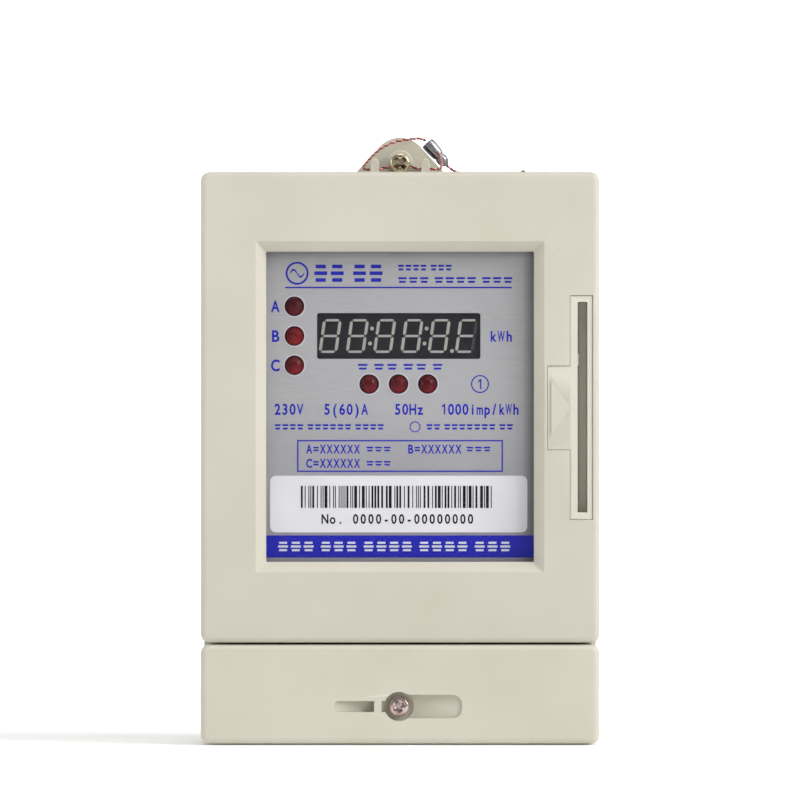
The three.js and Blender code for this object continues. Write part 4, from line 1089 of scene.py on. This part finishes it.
def digit_display(finishes):
    outline = rounded(DISPLAY.x0, DISPLAY.x1, DISPLAY.z0, DISPLAY.z1, 0.5)
    body = soften(prism(outline, DISPLAY.d0, DISPLAY.d1), 0.12, 50)
    place("display_body", body, finishes["screen"], "digit_display")
    middle = (DISPLAY_HOLE[2] + DISPLAY_HOLE[3]) / 2
    bright, dim = [], []
    for digit in range(6):
        x = FIRST_DIGIT + digit * DIGIT_PITCH
        for spot in SEGMENT_SPOTS:
            last_right = digit == 5 and spot.endswith("right")
            (dim if last_right else bright).append(segment(x, middle, spot))
    for gap in (1, 3):
        x = FIRST_DIGIT + (gap + 0.5) * DIGIT_PITCH
        bright += [dot(x + 2 * side * SLANT, middle + 2 * side) for side in (-1, 1)]
    bright.append(dot(FIRST_DIGIT + 4.47 * DIGIT_PITCH, middle - 4.0))
    place("display_segments", merged(*bright), finishes["segment"])
    place("display_segments_dim", merged(*dim), finishes["segment_dim"])


# ------------------------------------------------------------------ printing on the nameplate

INK = 0.03  # thickness of a printed film
CAP_HEIGHT = 0.7  # of Blender's own font, for a size of 1
BOLDER = 0.034  # how far the font's outlines are pushed out
PLATE_FRONT = PLATE.d1
LABEL = (-34.6, 33.9, 56.1, 71.2)
LABEL_FRONT = PLATE_FRONT + 0.08
BAND = (-35.9, 35.9, 49.4, 55.3)
BARS = (-26.4, 25.3, 62.6, 68.5)
TEXT_BOX = (-27.4, 27.4, 72.2, 80.7)


def film(outline, depth=PLATE_FRONT):
    return prism(outline, depth, depth + INK)


def bar(x0, x1, z0, z1, depth=PLATE_FRONT):
    return film([(x0, z0), (x1, z0), (x1, z1), (x0, z1)], depth)


def ring(x, z, radius, width, depth=PLATE_FRONT):
    profile = [(radius - width, depth), (radius, depth), (radius, depth + INK)]
    profile += [(radius - width, depth + INK), (radius - width, depth)]
    return lathe(profile, x, z, 48)


def outline_of(rectangle, width):
    """Four printed lines round a rectangle."""
    x0, x1, z0, z1 = rectangle
    return [
        bar(x0, x1, z0, z0 + width),
        bar(x0, x1, z1 - width, z1),
        bar(x0, x0 + width, z0 + width, z1 - width),
        bar(x1 - width, x1, z0 + width, z1 - width),
    ]


def figure_one():
    """A figure 1 without a foot, one unit high; the font's own reads as a capital I."""
    outline = [(0, 0), (0.16, 0), (0.16, 1), (0.02, 1), (-0.24, 0.8), (-0.24, 0.66), (0, 0.78)]
    return prism(outline, -0.5, 0.5)


def glyph(character):
    """One character of Blender's own font, one unit high, its middle at x = 0."""
    if character == "1":
        return figure_one()
    curve = bpy.data.curves.new("glyph", "FONT")
    curve.body = character
    curve.align_x = "CENTER"
    curve.size = 1 / CAP_HEIGHT
    curve.extrude = 0.5
    curve.offset = BOLDER
    curve.resolution_u = 3
    carrier = bpy.data.objects.new("glyph", curve)
    bpy.context.scene.collection.objects.link(carrier)
    graph = bpy.context.evaluated_depsgraph_get()
    mesh = bpy.data.meshes.new_from_object(carrier.evaluated_get(graph))
    bpy.data.objects.remove(carrier)
    mesh.transform(Matrix.Rotation(math.radians(90), 4, "X"))
    return mesh


def lettering(text, x, z, height, pitch, depth=PLATE_FRONT, width=0.82):
    """Evenly pitched characters from x rightwards, centred on the height z."""
    made = []
    for i, character in enumerate(text):
        if character == " ":
            continue
        mesh = glyph(character)
        own = 2 * max(vertex.co.x for vertex in mesh.vertices)
        across = min(height * width, 0.9 * pitch / own)
        size = Matrix.Diagonal((across, INK, height, 1))
        middle = (x + (i + 0.5) * pitch, -(depth + INK / 2), z - height / 2)
        mesh.transform(Matrix.Translation(middle) @ size)
        made.append(mesh)
    return made


def greeked(x, z, height, pitch, words, depth=PLATE_FRONT):
    """Level strokes that stand for words of so many characters each: three to a large one."""
    strokes = 3 if height > 2 else 2
    step = height / (strokes - 0.45)
    made = []
    for letters in words:
        for _ in range(letters):
            for row in range(strokes):
                low = z - height / 2 + row * step
                side = pitch * (0.04 if row % 2 else 0.12)
                made.append(bar(x + side, x + pitch * 0.86 - side, low, low + step * 0.55, depth))
            x += pitch
        x += 0.35 * pitch
    return made


def wave_mark(x, z):
    """A ring with one period of a sine in it: the plain sign for alternating current."""
    upper, lower = [], []
    for step in range(25):
        t = step / 24
        along = x - 1.9 + 3.8 * t
        rise = z + 0.95 * math.sin(2 * math.pi * t)
        upper.append((along, rise + 0.26))
        lower.append((along, rise - 0.26))
    return [ring(x, z, 3.05, 0.5), film(upper + lower[::-1])]


LED_LETTERS = "ABC"
HEADER_Z = 125.1
RATING_Z = 88.9
STANDARD_Z = 84.2
RATINGS = (("230V", -33.6, 2.0), ("5(60)A", -20.4, 2.0), ("50Hz", -1.6, 2.0), ("1000imp/kWh", 10.7, 1.92))
KEY_LINES = (  # text, its left end, its height, and where the strokes after it start
    ("A=XXXXXX", -25.1, 78.3, -9.0),
    ("B=XXXXXX", 1.9, 78.3, 17.6),
    ("C=XXXXXX", -25.1, 74.5, -9.0),
)


def header_printing():
    """The mark, a name and two lines in plain strokes, and a rule under them."""
    made = wave_mark(-27.4, HEADER_Z)
    made += greeked(-23.0, HEADER_Z, 4.6, 4.4, [2, 2])
    made += greeked(-0.6, HEADER_Z + 1.5, 1.5, 2.0, [4, 3])
    made += greeked(-0.6, HEADER_Z - 1.8, 1.5, 2.9, [3, 4, 3])
    return made + [bar(-30.6, 29.8, 121.1, 121.5)]


def led_printing():
    """A letter beside each status LED, strokes over each alarm LED."""
    made = []
    for node, letter in zip(LED_NODES[:3], LED_LETTERS):
        made += lettering(letter, -34.5, led_place(node)[1], 3.0, 2.6, width=0.9)
    for node in LED_NODES[3:]:
        made += greeked(led_place(node)[0] - 3.1, 100.2, 1.5, 3.2, [1, 1])
    return made


def blue_printing():
    made = header_printing() + led_printing()
    made += lettering("kWh", 23.7, 108.35, 2.8, 2.15)
    made += [ring(21.3, 95.6, 2.4, 0.32)] + lettering("1", 20.3, 95.6, 2.7, 2.0)
    for text, x, pitch in RATINGS:
        made += lettering(text, x, RATING_Z, 2.8, pitch)
    made += greeked(-33.4, STANDARD_Z, 1.4, 2.0, [4, 6, 4])
    made += [ring(4.0, STANDARD_Z, 1.45, 0.26)] + greeked(7.0, STANDARD_Z, 1.4, 2.0, [2, 7, 2])
    made += outline_of(TEXT_BOX, 0.36)
    for text, x, z, strokes_x in KEY_LINES:
        made += lettering(text, x, z, 2.3, 1.82) + greeked(strokes_x, z, 1.2, 2.3, [3])
    return made


def code_bars():
    """A row of bars of random widths, the same at every run. It encodes nothing."""
    chance = random.Random(5)
    made = []
    x = BARS[0]
    while x < BARS[1] - 1:
        width = chance.choice((0.26, 0.26, 0.52, 0.78))
        made.append(bar(x, x + width, BARS[2], BARS[3], LABEL_FRONT))
        x += width + chance.choice((0.26, 0.26, 0.5, 0.72))
    return made


def printing(finishes):
    label = prism(rounded(*LABEL, 1.6), PLATE_FRONT, LABEL_FRONT)
    place("serial_label", label, finishes["label"])
    place("printed_band", bar(*BAND), finishes["band"])
    place("printed_blue", merged(*blue_printing()), finishes["blue_ink"])
    black = code_bars() + lettering("No. 0000-00-00000000", -21.0, 59.7, 2.5, 2.04, LABEL_FRONT)
    place("printed_black", merged(*black), finishes["black_ink"])
    title = greeked(-32.6, 52.35, 2.5, 3.4, [3, 3, 4, 4, 3], PLATE_FRONT + INK)
    place("printed_white", merged(*title), finishes["white_ink_and_rim_highlight"])
    # Painted highlight: a pale ring round each LED's hole stands for its edge catching the light.
    rims = [ring(*led_place(node)[:2], LED_RADIUS + 0.42, 0.26) for node in LED_NODES]
    place("painted_rim_highlights", merged(*rims), finishes["white_ink_and_rim_highlight"])


# ------------------------------------------------------------------ screws


Recess = namedtuple("Recess", "arm half turn deep")  # a cross recess, turned in degrees
Pan = namedtuple("Pan", "head thick shank length")  # a pan-headed screw's radii and lengths


def cross(x, z, front, recess):
    """A cross-shaped cutter that narrows from its mouth to its floor."""
    arm, half, turn, deep = recess
    plus = [(half, arm), (-half, arm), (-half, half), (-arm, half), (-arm, -half), (-half, -half)]
    plus += [(-a, -b) for a, b in plus]
    spin = Matrix.Rotation(math.radians(turn), 2)
    rings = []
    for depth, scale in ((front - deep, 0.55), (front + 0.3, 1.0)):
        points = [spin @ (Vector(p) * scale) for p in plus]
        rings.append([Vector((x + p.x, -depth, z + p.y)) for p in points])
    return loft(rings)


def thread(shank, root, start, end):
    """A screw thread's profile, as plain ridges from one depth back to another."""
    profile = []
    depth = start
    while depth > end:
        profile += [(shank, depth), (root, depth - 0.35)]
        depth -= 0.7
    return profile, depth


def screw_body(x, z, front, pan):
    """A pan head with a soft rim, and a threaded shank."""
    head, thick, shank, length = pan
    back = front - thick
    profile = [(0, front - 0.12), (head * 0.62, front), (head * 0.84, front - 0.04)]
    profile += [(head * 0.95, front - 0.22), (head, front - 0.55), (head, back + 0.12)]
    profile += [(head - 0.12, back), (shank, back)]
    ridges, depth = thread(shank, shank - 0.24, back - 0.3, back - length + 1.2)
    profile += ridges
    profile += [(shank - 0.2, depth), (0.4, back - length + 0.1), (0, back - length)]
    return lathe(profile, x, z, 48)


def screw_place(node):
    """A screw's middle, its front's depth and its tip's."""
    extent = limits(node)
    return (extent.x0 + extent.x1) / 2, (extent.z0 + extent.z1) / 2, extent.d1, extent.d0


def cross_screw(node, name, finish, recess, pan, body=BODY, bore=None):
    x, z, front, _ = screw_place(node)
    cutters = [cross(x, z, front, recess)]
    if bore:
        cutters.append(bore(x, z))
    shape = carve(screw_body(x, z, front, pan), *cutters)
    shape = soften(shape, 0.07, 40, 2, lambda p: -p.y > front - 0.3)
    place(name, shape, finish, node, body, 40)


def wire_bore(x, z):
    """The hole across the sealing screw's head."""
    return along_x(pin(0, 0, 0.62, -4, 4, 24), x, 32.6, z - 1)


def screws(finishes):
    zinc, steel = finishes["zinc"], finishes["steel"]
    recess, pan = Recess(2.05, 0.62, 45, 1.9), Pan(2.65, 3.2, 1.5, 18)
    cross_screw("seal_screw", "sealing_screw", zinc, recess, pan, bore=wire_bore)
    recess, pan = Recess(1.75, 0.5, 22, 1.5), Pan(2.7, 2.2, 1.75, 28)
    captive = "terminal_cover_screw"
    cross_screw(captive, "captive_screw", steel, recess, pan, body=captive)
    for n in (1, 2):
        recess, pan = Recess(1.8, 0.45, 15 * n, 1.2), Pan(3.0, 2.2, 1.5, 12)
        cross_screw(f"cover_screw_{n}", f"cover_fixing_screw_{n}", steel, recess, pan)


def clamp_screw(node, turn, finishes):
    """A slotted clamp screw, its slot at its own angle."""
    x, z, front, tip = screw_place(node)
    profile = [(0, front), (2.7, front), (3.0, front - 0.12), (3.1, front - 0.4)]
    profile += [(3.1, front - 2.3), (3.0, front - 2.4), (2.0, front - 2.4)]
    profile += thread(2.0, 1.76, front - 2.6, tip + 1)[0]
    profile += [(1.8, tip + 0.5), (1.5, tip), (0, tip)]
    spin = Matrix.Rotation(math.radians(turn), 2)
    corners = [spin @ Vector(p) for p in ((-4, -0.45), (4, -0.45), (4, 0.45), (-4, 0.45))]
    cutter = prism([(x + p.x, z + p.y) for p in corners], front - 1.1, front + 1)
    shape = carve(lathe(profile, x, z, 40), cutter)
    shape = soften(shape, 0.08, 50, 2, lambda p: -p.y > front - 1.2)
    place(f"{node}_slotted", shape, finishes["steel"], node, node, 40)


def clamp_screws(finishes):
    chance = random.Random(3)
    for n in range(1, 5):
        for level in ("lower", "upper"):
            clamp_screw(f"clamp_screw_{n}_{level}", chance.uniform(0, 180), finishes)


# ------------------------------------------------------------------ CAD shapes that are kept

# Nodes that keep their CAD shape with its edges rounded.
Rounding = namedtuple("Rounding", "node name width segments finish slot body smooth")
SOFTENED = (
    Rounding("rear_base", "rear_base_moulding", 0.4, 3, "ivory", "ivory_plastic", BODY, 30),
    Rounding("card_slot_insert", "card_slot_insert_moulding", 0.12, 2, "ivory", "ivory_plastic", BODY, 30),
    Rounding(
        "card_slot_flap", "card_slot_flap_moulding", 0.12, 2, "ivory", "ivory_plastic", "card_slot_flap", 30
    ),
    Rounding("terminal_block", "terminal_block_moulding", 0.35, 2, "black", "black_plastic", BODY, 35),
    Rounding(
        "card_detect_lever", "card_lever_moulding", 0.2, 2, "white", "white_plastic", "card_detect_lever", 35
    ),
)

# Nodes that keep their CAD mesh, by finish.
CAD_FINISHES = {
    "white": ["nameplate_holder", "relay_armature", "screw_retainer"],
    "ivory": ["card_reader_housing"],
    "brass": [
        "card_contacts",
        "terminal_line_in",
        "terminal_line_out",
        "terminal_neutral_in",
        "terminal_neutral_out",
    ],
    "board": ["power_board", "display_board"],
    "steel": ["board_screw_1", "board_screw_2", "board_screw_3", "board_screw_4"],
    "ribbon": ["board_ribbon"],
    "laminate": ["transformer_core"],
    "winding": ["transformer_winding", "relay_coil"],
    "can": ["smoothing_capacitor"],
    "blue_epoxy": ["surge_varistor"],
    "black": ["control_chip", "relay_base", "relay_cover"],
    "copper": ["relay_contact_arm", "relay_fixed_contact", "current_shunt", "load_busbar", "neutral_link"],
}


def kept_shapes(finishes):
    for kept in SOFTENED:
        mesh = softened(kept.node, kept.width, kept.segments)
        place(kept.name, mesh, finishes[kept.finish], kept.node, kept.body, kept.smooth)
    for finish, nodes in CAD_FINISHES.items():
        for node in nodes:
            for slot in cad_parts[node].material_slots:
                slot.material = finishes[finish]


# ------------------------------------------------------------------ the model


def build():
    camera()
    finishes = make_finishes()
    seal = lead_seal(finishes)
    sealing_wire(finishes)
    studio()
    floor(finishes["ground"])
    front_cover(finishes)
    terminal_cover(finishes)
    window_lens(finishes)
    nameplate(finishes)
    for node in LED_NODES:
        led(node, finishes)
    digit_display(finishes)
    printing(finishes)
    screws(finishes)
    clamp_screws(finishes)
    kept_shapes(finishes)


build()
